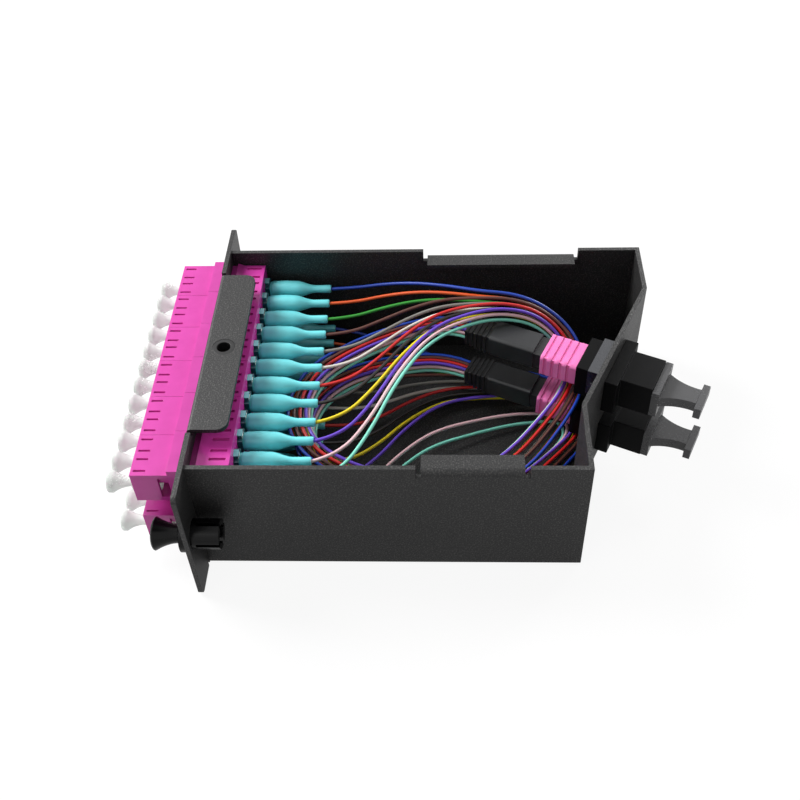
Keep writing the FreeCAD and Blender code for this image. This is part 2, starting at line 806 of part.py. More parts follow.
def make_mpo_sleeve(row, axis):
    """The coupling sleeve that is pulled back to free the plug, with finger grooves round it."""
    body = mpo_body(f"mpo_sleeve_{row}", axis)
    half_width = size("sleeve_width") / 2
    half_height = size("sleeve_height") / 2
    outer = centred(body, "sleeve", size("sleeve_width"), (-size("sleeve_end"), -size("sleeve_tip")),
                    size("sleeve_height"))
    round_long_edges(body, outer, half_width, half_height, size("sleeve_corner"))
    gap = size("sleeve_gap")
    cut_cavity(body, "core_space", rectangle(size("core_width") / 2 + gap, size("core_height") / 2 + gap),
               -size("sleeve_end"), size("sleeve_end") - size("sleeve_tip"), True)
    ring = new_sketch(body, "finger_groove", "XZ_Plane", shift=size("sleeve_end") - size("groove"))
    depth = size("groove_depth")
    add_outline(ring, rectangle(half_width + depth, half_height + depth))
    add_outline(ring, rectangle(half_width - depth, half_height - depth))
    groove = extrude(body, "Pocket", ring, size("groove"))
    repeat(body, [groove], [
        ("Y_Axis", int(size("groove_count").value), size("groove_pitch") * (size("groove_count") - 1)),
    ])


def make_mpo_boot(row, axis):
    """The ribbed boot that narrows from the housing to the fibres."""
    body = mpo_body(f"mpo_boot_{row}", axis)
    tip = new_sketch(body, "tip", "XZ_Plane", shift=size("mpo_boot_end"))
    add_outline(tip, rectangle(size("mpo_boot_tip_width") / 2, size("mpo_boot_tip_height") / 2))
    root = new_sketch(body, "root", "XZ_Plane", shift=size("housing_end"))
    root_width = size("housing_width") - size("mpo_boot_rib")
    root_height = size("housing_height") - size("mpo_boot_rib")
    add_outline(root, rectangle(root_width / 2, root_height / 2))
    taper = body.newObject("PartDesign::AdditiveLoft", "taper")
    taper.Profile = root
    taper.Sections = [tip]
    body.Tip = taper
    length = size("mpo_boot_end") - size("housing_end")
    rib = size("mpo_boot_rib")
    ribs = int(size("mpo_boot_ribs").value)
    for index in range(1, ribs + 1):
        share = index / (ribs + 0.5)
        width = root_width + (size("mpo_boot_tip_width") - root_width) * share + rib * 0.9
        height = root_height + (size("mpo_boot_tip_height") - root_height) * share + rib * 0.9
        middle = -size("housing_end") - length * share
        centred(body, f"rib_{index}", width, (middle - rib / 2, middle + rib / 2), height)


def make_mpo_dust_cap(row, axis):
    """The dust cap in the outer port: spigot, collar, a waisted fin and a T-bar to pull on."""
    body = mpo_body(f"mpo_dust_cap_{row}", axis)
    face = size("mpo_outer")
    collar_end = face + size("mpo_cap_collar")
    gap = size("mpo_cap_gap")
    centred(body, "spigot", size("mpo_cavity_width") - gap * 2, (face - size("mpo_cap_spigot"), face),
            size("mpo_cavity_height") - gap * 2)
    centred(body, "collar", size("mpo_cap_width"), (face, collar_end), size("mpo_cap_height"))
    fin = new_sketch(body, "fin", "XY_Plane")
    root = size("fin_root") / 2
    neck = size("fin_neck") / 2
    add_outline(fin, [
        (-root, collar_end),
        (root, collar_end, size("fin_curve"), -1),
        (neck, size("fin_end")),
        (-neck, size("fin_end"), size("fin_curve"), -1),
    ])
    extrude(body, "Pad", fin, size("fin_thickness"), both=True)
    centred(body, "bar", size("bar_length"), (size("fin_end"), size("fin_end") + size("bar_width")),
            size("bar_thickness"))


def make_latch(side_name, end):
    """A push-pull latch on an ear: the sprung grommet in its hole and the plunger that spreads it."""
    across = (size("plate_width") / 2 - size("latch_inset")) * end
    height = size("plate_height") / 2
    neck_front = size("grommet_front") + size("neck_gap")
    plunger = new_body(f"latch_plunger_{side_name}")
    place(plunger, across, 0.0, height)
    rim = size("knob") / 2
    shank = size("shank") / 2
    lead = size("grommet_gap") * 3
    turn(plunger, "plunger", [
        (0.0, -size("knob_front")),
        (size("knob_face") / 2, -size("knob_front")),
        (rim, -size("knob_rim") - size("grommet_gap")),
        (rim, -size("knob_rim"), size("knob_curve"), -1),
        (size("knob_neck") / 2, -neck_front),
        (shank, -neck_front),
        (shank, size("shank_end") - lead),
        (shank - lead, size("shank_end")),
        (0.0, size("shank_end")),
    ])
    grommet = new_body(f"latch_grommet_{side_name}")
    place(grommet, across, 0.0, height)
    bore = shank + size("grommet_gap")
    flange = size("grommet_flange") / 2
    barrel = size("grommet_barrel") / 2
    turn(grommet, "grommet", [
        (bore, -size("grommet_front")),
        (flange, -size("grommet_front")),
        (flange, -sheet_thickness),
        (barrel, -sheet_thickness),
        (barrel, size("grommet_end")),
        (bore, size("grommet_end")),
    ])
    slot = size("grommet_slot") / 2
    legs = (sheet_thickness, size("grommet_end"))
    cut_block(grommet, "upright_slot", (-slot, slot), legs, (-flange, flange))
    cut_block(grommet, "level_slot", (-flange, flange), legs, (-slot, slot))


FIBRE_COLOURS = [
    "blue", "orange", "green", "brown", "slate", "white",
    "red", "black", "yellow", "violet", "rose", "aqua",
]

# The way that the twelve fibres of a row take together, from their boots round the inside of the tray
# and back into the boot of the MPO plug. A station is the middle of the lay (x, y, z), its heading in
# degrees, the spacing of the fibres across the lay, the rise between its three layers and how far the
# stray fibres of the way stand off on the right.
UPPER_WAY = [
    (-0.7, 34.6, 27.6, 90, 6.22, 0.0, 0.0),
    (-6.5, 42.5, 29.3, 88.5, 5.1, 0.0, 0.0),
    (-13.0, 50.0, 31.3, 83, 3.5, 0.3, 0.0),
    (-18.5, 58.5, 32.6, 76, 1.9, 0.8, 0.0),
    (-20.3, 68.5, 33.2, 80, 0.95, 1.1, 0.0),
    (-20.8, 77.6, 32.9, 70, 0.68, 1.3, 0.0),
    (-19.9, 85.9, 30.4, 67, 0.5, 1.35, 0.0),
    (-16.8, 93.1, 24.6, 43, 0.5, 1.35, 0.0),
    (-10.0, 95.6, 19.3, 6, 0.5, 1.3, 0.0),
    (-2.2, 93.6, 18.9, -25, 0.55, 1.3, 0.0),
    (6.2, 88.8, 17.9, -33, 0.65, 1.3, 0.0),
    (20.0, 78.0, 15.4, -47, 0.8, 1.3, 0.0),
    (27.0, 65.5, 14.0, -72, 0.8, 1.3, 0.0),
    (28.5, 50.5, 15.6, -92, 0.75, 1.3, 0.0),
    (26.0, 36.0, 18.6, -112, 0.6, 1.3, 0.0),
    (18.5, 24.8, 20.4, -150, 0.55, 1.3, 0.0),
    (7.0, 21.3, 20.8, -180, 0.55, 1.3, 0.0),
    (-5.5, 24.5, 21.4, -212, 0.5, 1.3, 0.0),
    (-14.0, 35.0, 22.6, -238, 0.45, 1.2, 0.0),
    (-18.9, 48.0, 25.0, -252, 0.4, 1.1, 0.0),
    (-21.2, 60.4, 26.5, -295, 0.4, 1.05, 0.0),
]
LOWER_WAY = [
    (-0.7, 34.6, 10.3, 90, 6.22, 0.0, 0.0),
    (-5.5, 42.5, 8.0, 88.5, 5.0, 0.0, 1.5),
    (-12.5, 50.5, 6.0, 84, 3.4, 0.3, 5.5),
    (-17.0, 60.0, 5.0, 80, 1.9, 0.7, 8.0),
    (-18.0, 71.0, 4.3, 84, 1.3, 1.0, 6.8),
    (-17.6, 83.5, 4.0, 68, 1.05, 1.15, 5.8),
    (-14.6, 92.3, 4.0, 55, 0.8, 1.2, 4.4),
    (-8.5, 97.8, 4.0, 22, 0.55, 1.2, 2.4),
    (-0.2, 97.4, 4.0, -16, 0.55, 1.2, 0.8),
    (7.2, 92.0, 4.4, -33, 0.6, 1.2, 0.0),
    (21.0, 79.5, 4.8, -45, 0.8, 1.2, 0.0),
    (28.5, 68.0, 6.2, -70, 0.8, 1.2, 0.0),
    (31.0, 54.0, 9.3, -90, 0.75, 1.2, 0.0),
    (29.0, 39.5, 13.0, -110, 0.6, 1.2, 0.0),
    (21.5, 27.3, 15.2, -146, 0.55, 1.2, 0.0),
    (10.5, 22.4, 16.0, -178, 0.5, 1.2, 0.0),
    (-2.0, 24.6, 15.8, -206, 0.5, 1.2, 0.0),
    (-12.0, 33.8, 15.2, -234, 0.45, 1.2, 0.0),
    (-18.7, 48.0, 13.2, -252, 0.42, 1.1, 0.0),
    (-21.2, 60.4, 11.6, -295, 0.4, 1.05, 0.0),
]
# The tray width, near wall's depth and plate height that the stations are laid out for.
WAY_WIDTH = 79.9
WAY_DEPTH = 94.2
WAY_HEIGHT = 38.0
UPPER_STRAYS = {}
LOWER_STRAYS = {"rose": 1.0, "aqua": 1.4}
LAYERS = 3
TIP_SPACING = 0.36
TIP_RISE = 1.0
CORNER_SHARE = 0.45


def mpo_axis_point(axis, along):
    point = rear_origin + rear_normal * along
    return FreeCAD.Vector(point.x, point.y, axis.value)


def place_in_lay(lane, spacing, rise):
    """How far left of the lay's middle and how far above it a fibre lies."""
    across = ((len(FIBRE_COLOURS) - 1) / 2 - lane) * spacing
    up = ((LAYERS - 1) / 2 - lane % LAYERS) * rise
    return across, up


def fibre_points(way, strays, lane, port, port_axis, mpo_axis):
    """The corners of one fibre's route: its place in the lay at each station, from boot to boot."""
    points = [FreeCAD.Vector(port.value, size("boot_end").value, port_axis.value)]
    wider = tray_width.value / WAY_WIDTH
    deeper = size("near_depth").value / WAY_DEPTH
    higher = size("plate_height").value / WAY_HEIGHT
    for x, y, z, heading, spacing, rise, stray in way:
        left = math.radians(heading + 90)
        across, up = place_in_lay(lane, spacing, rise)
        across -= stray * strays.get(FIBRE_COLOURS[lane], 0.0)
        points.append(FreeCAD.Vector(
            x * wider + across * math.cos(left), y * deeper + across * math.sin(left), z * higher + up))
    tip = mpo_axis_point(mpo_axis, -size("mpo_boot_end").value)
    across, up = place_in_lay(lane, TIP_SPACING, TIP_RISE)
    points.append(tip - rear_run * across + FreeCAD.Vector(0, 0, up))
    return points


def rounded_path(points):
    """Straight runs joined by tangent arcs, and the smallest radius among the arcs."""
    edges = []
    radii = []
    start = points[0]
    for before, corner, after in zip(points, points[1:], points[2:]):
        into = corner - before
        out = after - corner
        trim = CORNER_SHARE * min(into.Length, out.Length)
        half_turn = into.getAngle(out) / 2
        radii.append(trim / math.tan(half_turn))
        into.normalize()
        out.normalize()
        arc_start = corner - into * trim
        arc_end = corner + out * trim
        inward = (out - into).normalize()
        sagitta = radii[-1] * (1 / math.cos(half_turn) - 1)
        edges.append(Part.LineSegment(start, arc_start).toShape())
        edges.append(Part.Arc(arc_start, corner + inward * sagitta, arc_end).toShape())
        start = arc_end
    edges.append(Part.LineSegment(start, points[-1]).toShape())
    return Part.Wire(edges), min(radii)


def make_fibre(label, points):
    """A buffered fibre: a round tube along its rounded path."""
    path, smallest = rounded_path(points)
    radius = size("fibre").value / 2
    circle = Part.makeCircle(radius, points[0], points[1] - points[0])
    tube = path.makePipeShell([Part.Wire([circle])], True, False)
    expected = math.pi * radius**2 * path.Length
    print(f"{label}: radius {smallest:.1f}, length {path.Length:.0f}, "
          f"volume {tube.Volume / expected:.4f} of the section times the length")
    fibre = doc.addObject("Part::Feature", label)
    fibre.Label = label
    fibre.Shape = tube
    NODES.append(fibre)


def make_fibres(row, way, strays, port_axis, mpo_axis):
    for lane, (colour, port) in enumerate(zip(FIBRE_COLOURS, port_places())):
        points = fibre_points(way, strays, lane, port, port_axis, mpo_axis)
        make_fibre(f"fibre_{row}_{lane + 1:02d}_{colour}", points)


make_tray()
make_cover_nut()
for row_name, row_axis, row_way, row_strays in (
    ("upper", upper_axis, UPPER_WAY, UPPER_STRAYS),
    ("lower", lower_axis, LOWER_WAY, LOWER_STRAYS),
):
    adapters = int(size("lc_count").value)
    for index in range(adapters):
        make_lc_adapter(f"lc_adapter_{row_name}_{index + 1}", lc_pitch * (index - (adapters - 1) / 2),
                        row_axis)
    make_lc_row(row_name, row_axis)
    mpo_axis = row_axis - size("mpo_drop")
    for make_piece in (make_mpo_adapter, make_mpo_clip, make_mpo_housing, make_mpo_sleeve,
                       make_mpo_boot, make_mpo_dust_cap):
        make_piece(row_name, mpo_axis)
    make_fibres(row_name, row_way, row_strays, row_axis, mpo_axis)
make_latch("left", -1)
make_latch("right", 1)
doc.recompute()

faults = [
    f"{item.Name}: {item.State}"
    for item in doc.Objects
    if "Invalid" in item.State or "Error" in item.State
]
for node in NODES:
    if node.Shape.isNull() or not node.Shape.isValid():
        faults.append(f"{node.Label}: no valid shape")
if faults:
    raise RuntimeError("\n".join(faults))

os.makedirs("parts", exist_ok=True)
for node in NODES:
    node.Shape.exportStep(f"parts/{node.Label}.step")
    print(f"{node.Label}: {len(node.Shape.Solids)} solids, {node.Shape.Volume:.1f} cubic mm")
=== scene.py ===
import logging
import math
from dataclasses import dataclass, field
from enum import Enum
from typing import NamedTuple

import bmesh
import bpy
from mathutils import Matrix, Vector

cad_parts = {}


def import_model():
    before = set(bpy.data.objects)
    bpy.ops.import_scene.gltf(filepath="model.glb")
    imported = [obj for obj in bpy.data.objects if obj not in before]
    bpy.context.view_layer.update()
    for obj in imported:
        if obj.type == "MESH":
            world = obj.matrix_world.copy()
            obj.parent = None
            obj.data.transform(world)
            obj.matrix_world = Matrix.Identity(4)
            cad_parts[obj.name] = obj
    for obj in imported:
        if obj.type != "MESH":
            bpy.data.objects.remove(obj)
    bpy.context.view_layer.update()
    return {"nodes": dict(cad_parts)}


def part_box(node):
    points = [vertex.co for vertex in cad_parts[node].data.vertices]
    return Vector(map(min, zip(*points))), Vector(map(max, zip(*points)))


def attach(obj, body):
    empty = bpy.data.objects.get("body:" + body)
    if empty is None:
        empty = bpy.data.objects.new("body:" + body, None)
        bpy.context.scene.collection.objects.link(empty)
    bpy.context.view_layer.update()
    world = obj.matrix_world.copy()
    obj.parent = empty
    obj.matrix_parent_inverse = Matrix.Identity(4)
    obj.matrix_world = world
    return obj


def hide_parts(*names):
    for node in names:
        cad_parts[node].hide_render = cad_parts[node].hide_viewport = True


LOG = logging.getLogger("cassette")
MM = 0.001
ROOT_BODY = "cassette"
WHITE = (1.0, 1.0, 1.0, 1.0)

Rgb = tuple[int, int, int]
Pair = tuple[float, float]
Triple = tuple[float, float, float]
Tree = bpy.types.NodeTree
Node = bpy.types.Node
Socket = bpy.types.NodeSocket


class Row(Enum):
    """The two rows of ports."""

    UPPER = "upper"
    LOWER = "lower"


class Side(Enum):
    """The two ears of the plate."""

    LEFT = "left"
    RIGHT = "right"


class Light(Enum):
    """The kinds of soft box in the studio."""

    KEY = "key"
    FILL = "fill"
    RIM = "rim"


def linear(red: int, green: int, blue: int) -> tuple[float, float, float, float]:
    """A colour as the renderer holds it, by the sRGB curve.

    Args:
        red: Display value from 0 to 255.
        green: Display value from 0 to 255.
        blue: Display value from 0 to 255.

    Returns:
        Scene-linear red, green, blue and an alpha of 1.
    """
    def channel(value: int) -> float:
        """One display channel made linear."""
        share = value / 255
        return share / 12.92 if share <= 0.04045 else ((share + 0.055) / 1.055) ** 2.4

    return channel(red), channel(green), channel(blue), 1.0


# ---------------------------------------------------------------- surfaces


@dataclass
class SurfaceGroups:
    """Builds the shader node groups that the finishes share, each of them once.

    A pair of a contrast or a roughness is a factor and what is added to it.
    """

    cloud_scale: float = 0.08
    cloud_contrast: Pair = (1.6, -0.3)
    cloud_gloss: float = 0.6
    grain_gloss: float = 0.4
    dust_scale: float = 2.7
    pebble_share: float = 0.65
    dust_share: float = 0.35
    coat_patches: float = 60.0
    coat_roughness: Pair = (0.14, 0.40)
    sheet_lines: Triple = (400.0, 6000.0, 400.0)
    sheet_roughness: Pair = (0.25, 0.18)
    made: dict[str, Tree] = field(default_factory=dict)

    def start(self, name: str, inputs: dict[str, str]) -> tuple[Tree, Node, Node, Socket]:
        """Make an empty group that puts out a colour, a roughness and a height.

        Args:
            name: The group's name.
            inputs: Socket name to socket type for the inputs.

        Returns:
            The tree, its input node, its output node and the object's coordinates.
        """
        outputs = {"Colour": "NodeSocketColor", "Roughness": "NodeSocketFloat", "Height": "NodeSocketFloat"}
        tree = bpy.data.node_groups.new(name, "ShaderNodeTree")
        for socket, kind in inputs.items():
            tree.interface.new_socket(socket, in_out="INPUT", socket_type=kind)
        for socket, kind in outputs.items():
            tree.interface.new_socket(socket, in_out="OUTPUT", socket_type=kind)
        given = tree.nodes.new("NodeGroupInput")
        out = tree.nodes.new("NodeGroupOutput")
        place = tree.nodes.new("ShaderNodeTexCoord").outputs["Object"]
        self.made[name] = tree
        return tree, given, out, place

    @staticmethod
    def math(tree: Tree, operation: str, *values: Socket | float, clamp: bool = False) -> Socket:
        """Place a Math node and return its output.

        Args:
            tree: The tree to place it in.
            operation: Blender's name of the operation.
            values: A socket or a number for each of the node's inputs.
            clamp: Keep the result between 0 and 1.

        Returns:
            The output socket.
        """
        node = tree.nodes.new("ShaderNodeMath")
        node.operation = operation
        node.use_clamp = clamp
        for slot, value in enumerate(values):
            if isinstance(value, (int, float)):
                node.inputs[slot].default_value = value
            else:
                tree.links.new(value, node.inputs[slot])
        return node.outputs[0]

    @staticmethod
    def noise(tree: Tree, place: Socket, scale: Socket | float, detail: float) -> Socket:
        """Place a Noise Texture and return its value.

        Args:
            tree: The tree to place it in.
            place: The socket that gives the coordinates.
            scale: A socket or a number, in cycles per metre.
            detail: Octaves of finer noise.

        Returns:
            The noise value's socket.
        """
        node = tree.nodes.new("ShaderNodeTexNoise")
        node.inputs["Detail"].default_value = detail
        tree.links.new(place, node.inputs["Vector"])
        if isinstance(scale, (int, float)):
            node.inputs["Scale"].default_value = scale
        else:
            tree.links.new(scale, node.inputs["Scale"])
        return node.outputs["Fac"]

    @staticmethod
    def mix(tree: Tree, share: Socket, first: Socket, second: Socket) -> Socket:
        """Mix two colours.

        Args:
            tree: The tree to place the node in.
            share: How much of the second colour shows.
            first: The first colour.
            second: The second colour.

        Returns:
            The mixed colour's socket.
        """
        node = tree.nodes.new("ShaderNodeMix")
        node.data_type = "RGBA"
        tree.links.new(share, node.inputs["Factor"])
        tree.links.new(first, node.inputs["A"])
        tree.links.new(second, node.inputs["B"])
        return node.outputs["Result"]

    def moulded(self) -> Tree:
        """The surface of a moulding: cloudy colour, uneven gloss and a fine spark-eroded grain.

        Returns:
            The group.
        """
        if "moulded_surface" in self.made:
            return self.made["moulded_surface"]
        tree, given, out, place = self.start(
            "moulded_surface",
            {"Colour": "NodeSocketColor", "Shade": "NodeSocketColor", "Grain": "NodeSocketFloat",
             "Gloss Low": "NodeSocketFloat", "Gloss High": "NodeSocketFloat"},
        )
        size = given.outputs["Grain"]
        low = given.outputs["Gloss Low"]
        clouds = self.noise(tree, place, self.math(tree, "MULTIPLY", size, self.cloud_scale), detail=3.0)
        grain = self.noise(tree, place, size, detail=2.0)
        spread = self.math(tree, "MULTIPLY_ADD", clouds, *self.cloud_contrast, clamp=True)
        colour = self.mix(tree, spread, given.outputs["Colour"], given.outputs["Shade"])
        reach = self.math(tree, "SUBTRACT", given.outputs["Gloss High"], low)
        dull = self.math(tree, "ADD", self.math(tree, "MULTIPLY", clouds, self.cloud_gloss),
                         self.math(tree, "MULTIPLY", grain, self.grain_gloss))
        rough = self.math(tree, "ADD", low, self.math(tree, "MULTIPLY", reach, dull))
        tree.links.new(colour, out.inputs["Colour"])
        tree.links.new(rough, out.inputs["Roughness"])
        tree.links.new(grain, out.inputs["Height"])
        return tree

    def powder(self) -> Tree:
        """Textured powder coat: pebbles of two sizes, with paler crests as a painted highlight on the
        pebbles' tops.

        Returns:
            The group.
        """
        if "powder_coat" in self.made:
            return self.made["powder_coat"]
        tree, given, out, place = self.start(
            "powder_coat",
            {"Colour": "NodeSocketColor", "Painted Crest": "NodeSocketColor", "Pebbles": "NodeSocketFloat",
             "Contrast": "NodeSocketFloat"},
        )
        size = given.outputs["Pebbles"]
        pebbles = self.noise(tree, place, size, detail=1.0)
        dust = self.noise(tree, place, self.math(tree, "MULTIPLY", size, self.dust_scale), detail=2.0)
        both = self.math(tree, "ADD", self.math(tree, "MULTIPLY", pebbles, self.pebble_share),
                         self.math(tree, "MULTIPLY", dust, self.dust_share))
        # Pebble tops above the middle height turn paler: a painted highlight on the crests.
        above = self.math(tree, "SUBTRACT", both, 0.5)
        painted_crest = self.math(tree, "MULTIPLY", above, given.outputs["Contrast"], clamp=True)
        colour = self.mix(tree, painted_crest, given.outputs["Colour"], given.outputs["Painted Crest"])
        patches = self.noise(tree, place, self.coat_patches, detail=2.0)
        rough = self.math(tree, "MULTIPLY_ADD", patches, *self.coat_roughness)
        tree.links.new(colour, out.inputs["Colour"])
        tree.links.new(rough, out.inputs["Roughness"])
        tree.links.new(both, out.inputs["Height"])
        return tree

    def rolled(self) -> Tree:
        """Rolled spring sheet: fine lines across the strip, which are duller than the rest.

        Returns:
            The group.
        """
        if "rolled_sheet" in self.made:
            return self.made["rolled_sheet"]
        tree, given, out, place = self.start(
            "rolled_sheet",
            {"Colour": "NodeSocketColor", "Shade": "NodeSocketColor"},
        )
        stretch = tree.nodes.new("ShaderNodeMapping")
        stretch.inputs["Scale"].default_value = self.sheet_lines
        tree.links.new(place, stretch.inputs["Vector"])
        lines = self.noise(tree, stretch.outputs["Vector"], 1.0, detail=2.0)
        colour = self.mix(tree, lines, given.outputs["Colour"], given.outputs["Shade"])
        rough = self.math(tree, "MULTIPLY_ADD", lines, *self.sheet_roughness)
        tree.links.new(colour, out.inputs["Colour"])
        tree.links.new(rough, out.inputs["Roughness"])
        tree.links.new(lines, out.inputs["Height"])
        return tree


GROUPS = SurfaceGroups()


# ---------------------------------------------------------------- finishes


@dataclass(frozen=True)
class Finish:
    """A finish, which becomes a material the first time it is asked for.

    Colours are display values from 0 to 255, a grain or pebbles are counted in a metre, and a relief is in
    millimetres.
    """

    name: str
    colour: Rgb

    def material(self) -> bpy.types.Material:
        """Give the finish as a material.

        Returns:
            The material, which pieces of the same finish share.
        """
        known = bpy.data.materials.get(self.name)
        if known:
            return known
        made, tree, shader = new_material(self.name)
        self.dress(tree, shader)
        return made

    def dress(self, tree: Tree, shader: Node) -> None:
        """Give a new material its look, which each kind of finish does in its own way."""
        raise NotImplementedError


@dataclass(frozen=True)
class Moulding(Finish):
    """A moulded plastic or rubber finish."""

    shade: Rgb
    gloss: Pair = (0.3, 0.45)
    grain: float = 3000.0
    relief: float = 0.01
    coat: float = 0.0
    inner_glow: float = 0.0
    specular: float = 0.5
    see_through: float = 0.0
    # A glow above 0 is a painted glow: the piece gives off light though it is no lamp.
    glow: float = 0.0
    coat_roughness: float = 0.2
    glow_depth: float = 1.2 * MM

    def dress(self, tree: Tree, shader: Node) -> None:
        """Lay the moulded surface, set how light goes into it and give it any painted glow.

        Args:
            tree: The material's tree.
            shader: Its Principled shader.
        """
        lay_surface(tree, shader, GROUPS.moulded(), self.relief, {
            "Colour": linear(*self.colour), "Shade": linear(*self.shade), "Grain": self.grain,
            "Gloss Low": self.gloss[0], "Gloss High": self.gloss[1],
        })
        set_inputs(shader, {
            "Coat Weight": self.coat,
            "Coat Roughness": self.coat_roughness,
            "Specular IOR Level": self.specular,
            "Transmission Weight": self.see_through,
            "Emission Color": WHITE,
            "Emission Strength": self.glow,
            "Subsurface Weight": self.inner_glow,
            "Subsurface Radius": WHITE[:3],
            "Subsurface Scale": self.glow_depth,
        })


@dataclass(frozen=True)
class PowderCoat(Finish):
    """A textured coat whose paler crests are a painted highlight on the tops of its pebbles."""

    painted_crest: Rgb
    pebbles: float
    contrast: float
    relief: float
    specular: float = 0.4

    def dress(self, tree: Tree, shader: Node) -> None:
        """Lay the pebbled surface.

        Args:
            tree: The material's tree.
            shader: Its Principled shader.
        """
        lay_surface(tree, shader, GROUPS.powder(), self.relief, {
            "Colour": linear(*self.colour), "Painted Crest": linear(*self.painted_crest), "Pebbles": self.pebbles,
            "Contrast": self.contrast,
        })
        set_inputs(shader, {"Specular IOR Level": self.specular})


@dataclass(frozen=True)
class SpringSheet(Finish):
    """Blued rolled sheet."""

    shade: Rgb
    relief: float = 0.01

    def dress(self, tree: Tree, shader: Node) -> None:
        """Lay the rolled surface.

        Args:
            tree: The material's tree.
            shader: Its Principled shader.
        """
        lay_surface(tree, shader, GROUPS.rolled(), self.relief, {
            "Colour": linear(*self.colour), "Shade": linear(*self.shade),
        })
        set_inputs(shader, {"Metallic": 1.0})


def new_material(name: str) -> tuple[bpy.types.Material, Tree, Node]:
    """A new node material.

    Args:
        name: Its name.

    Returns:
        The material, its tree and its Principled shader.
    """
    made = bpy.data.materials.new(name)
    made.use_nodes = True
    return made, made.node_tree, made.node_tree.nodes["Principled BSDF"]


def set_inputs(node: Node, values: dict[str, float | tuple[float, ...]]) -> None:
    """Set a node's inputs by name."""
    for socket, value in values.items():
        node.inputs[socket].default_value = value


def lay_surface(tree: Tree, shader: Node, group: Tree, relief: float,
                values: dict[str, float | tuple[float, ...]]) -> None:
    """Place a surface group and feed its colour, roughness and height to the shader.

    Args:
        tree: The material's tree.
        shader: The Principled shader.
        group: The surface group.
        relief: Depth of the relief in millimetres.
        values: The group's inputs by name.
    """
    surface = tree.nodes.new("ShaderNodeGroup")
    surface.node_tree = group
    set_inputs(surface, values)
    tree.links.new(surface.outputs["Colour"], shader.inputs["Base Color"])
    tree.links.new(surface.outputs["Roughness"], shader.inputs["Roughness"])
    bump = tree.nodes.new("ShaderNodeBump")
    set_inputs(bump, {"Strength": 1.0, "Distance": relief * MM})
    tree.links.new(surface.outputs["Height"], bump.inputs["Height"])
    tree.links.new(bump.outputs["Normal"], shader.inputs["Normal"])


# A coat has its name, colour, the colour of the painted highlight on its pebbles' crests, pebbles, contrast
# and relief. A moulding has its name, colour, shade, roughness from low to high, grain and relief.
SHEET_COAT = PowderCoat("black_powder_coat", (24, 24, 25), (112, 111, 108), 2500.0, 2.1, 0.10)
NUT_OXIDE = PowderCoat("nut_oxide", (16, 16, 17), (38, 38, 38), 2600.0, 1.2, 0.01)
ADAPTER_MAGENTA = Moulding("adapter_magenta", (208, 66, 166), (196, 56, 154), (0.2, 0.3), 2600.0, 0.006,
                           inner_glow=0.1)
# The plugs' dark teal is painted shade: they are aqua like the boots, darkened as if shaded by the tab.
PLUG_PAINTED_SHADE = Moulding("teal_plug_painted_shade", (22, 94, 100), (14, 72, 78), (0.14, 0.26), 2600.0, 0.004, coat=1.0)
# The pale aqua on the levers' tips is a painted highlight.
LEVER_PAINTED_HIGHLIGHT = Moulding("aqua_lever_painted_highlight", (150, 240, 236), (120, 220, 216), (0.14, 0.26), 2600.0, 0.004,
                      coat=1.0)
BOOT_AQUA = Moulding("aqua_elastomer", (118, 226, 232), (102, 214, 221), (0.34, 0.46), 3600.0, 0.008,
                     inner_glow=0.05, coat=0.2, specular=0.7)
# The caps' glow is a painted glow that makes them look whiter.
CAP_MILK = Moulding("cap_milk", (246, 252, 247), (232, 240, 234), (0.2, 0.32), 1800.0, 0.006,
                    inner_glow=0.5, see_through=0.35, glow=0.05)
RIB_BLACK = Moulding("rib_black", (26, 26, 28), (18, 18, 20), (0.3, 0.46), 3200.0, 0.012, specular=0.6)
MPO_BLACK = Moulding("mpo_black", (14, 14, 15), (9, 9, 10), (0.34, 0.52), 3200.0, 0.012, specular=0.07)
HOUSING_BLACK = Moulding("housing_black", (38, 39, 41), (28, 29, 31), (0.34, 0.5), 3200.0, 0.012,
                         specular=0.45)
CAP_SMOKE = Moulding("cap_smoke", (78, 78, 79), (66, 66, 68), (0.2, 0.34), 1500.0, 0.006, inner_glow=0.1)
SLEEVE_ROSE = Moulding("rose_sleeve_satin", (250, 134, 200), (242, 118, 188), (0.34, 0.46), 2600.0, 0.008,
                       inner_glow=0.05)
LATCH_BLACK = Moulding("latch_nylon", (8, 8, 9), (5, 5, 6), (0.2, 0.32), 2200.0, 0.006, specular=0.18)
CLIP_METAL = SpringSheet("spring_sheet", (104, 105, 108), (78, 79, 82))

BUFFER_COLOURS: dict[str, Rgb] = {
    "blue": (22, 66, 176),
    "orange": (236, 92, 34),
    "green": (40, 148, 42),
    "brown": (92, 50, 40),
    "slate": (136, 134, 128),
    "white": (226, 222, 212),
    "red": (216, 38, 36),
    "black": (34, 30, 30),
    "yellow": (244, 222, 36),
    "violet": (110, 74, 208),
    "rose": (254, 208, 214),
    "aqua": (140, 238, 214),
}
BUFFER_SHADE = 0.9


def buffer_finish(colour: str) -> Moulding:
    """The satin finish of a fibre's buffer.

    Args:
        colour: One of the twelve buffer colours.

    Returns:
        Its finish.
    """
    base = BUFFER_COLOURS[colour]
    shade = tuple(int(value * BUFFER_SHADE) for value in base)
    return Moulding(f"{colour}_buffer_satin", base, shade, (0.3, 0.42), 900.0, 0.003, coat=0.12, specular=0.4)


# ---------------------------------------------------------------- mesh tools

SMOOTH_LIMIT = math.radians(38.0)
EDGE_LIMIT = math.radians(40.0)
FLAT_LIMIT = math.radians(0.5)
CAD_DOUBLES = 0.002 * MM
SPUN_DOUBLES = 0.001 * MM
BEVEL_STEPS = 2


def is_sharp(edge: bmesh.types.BMEdge, limit: float) -> bool:
    """Tell whether the two faces of an edge meet at more than a limit in radians."""
    return edge.is_manifold and edge.calc_face_angle(0.0) > limit


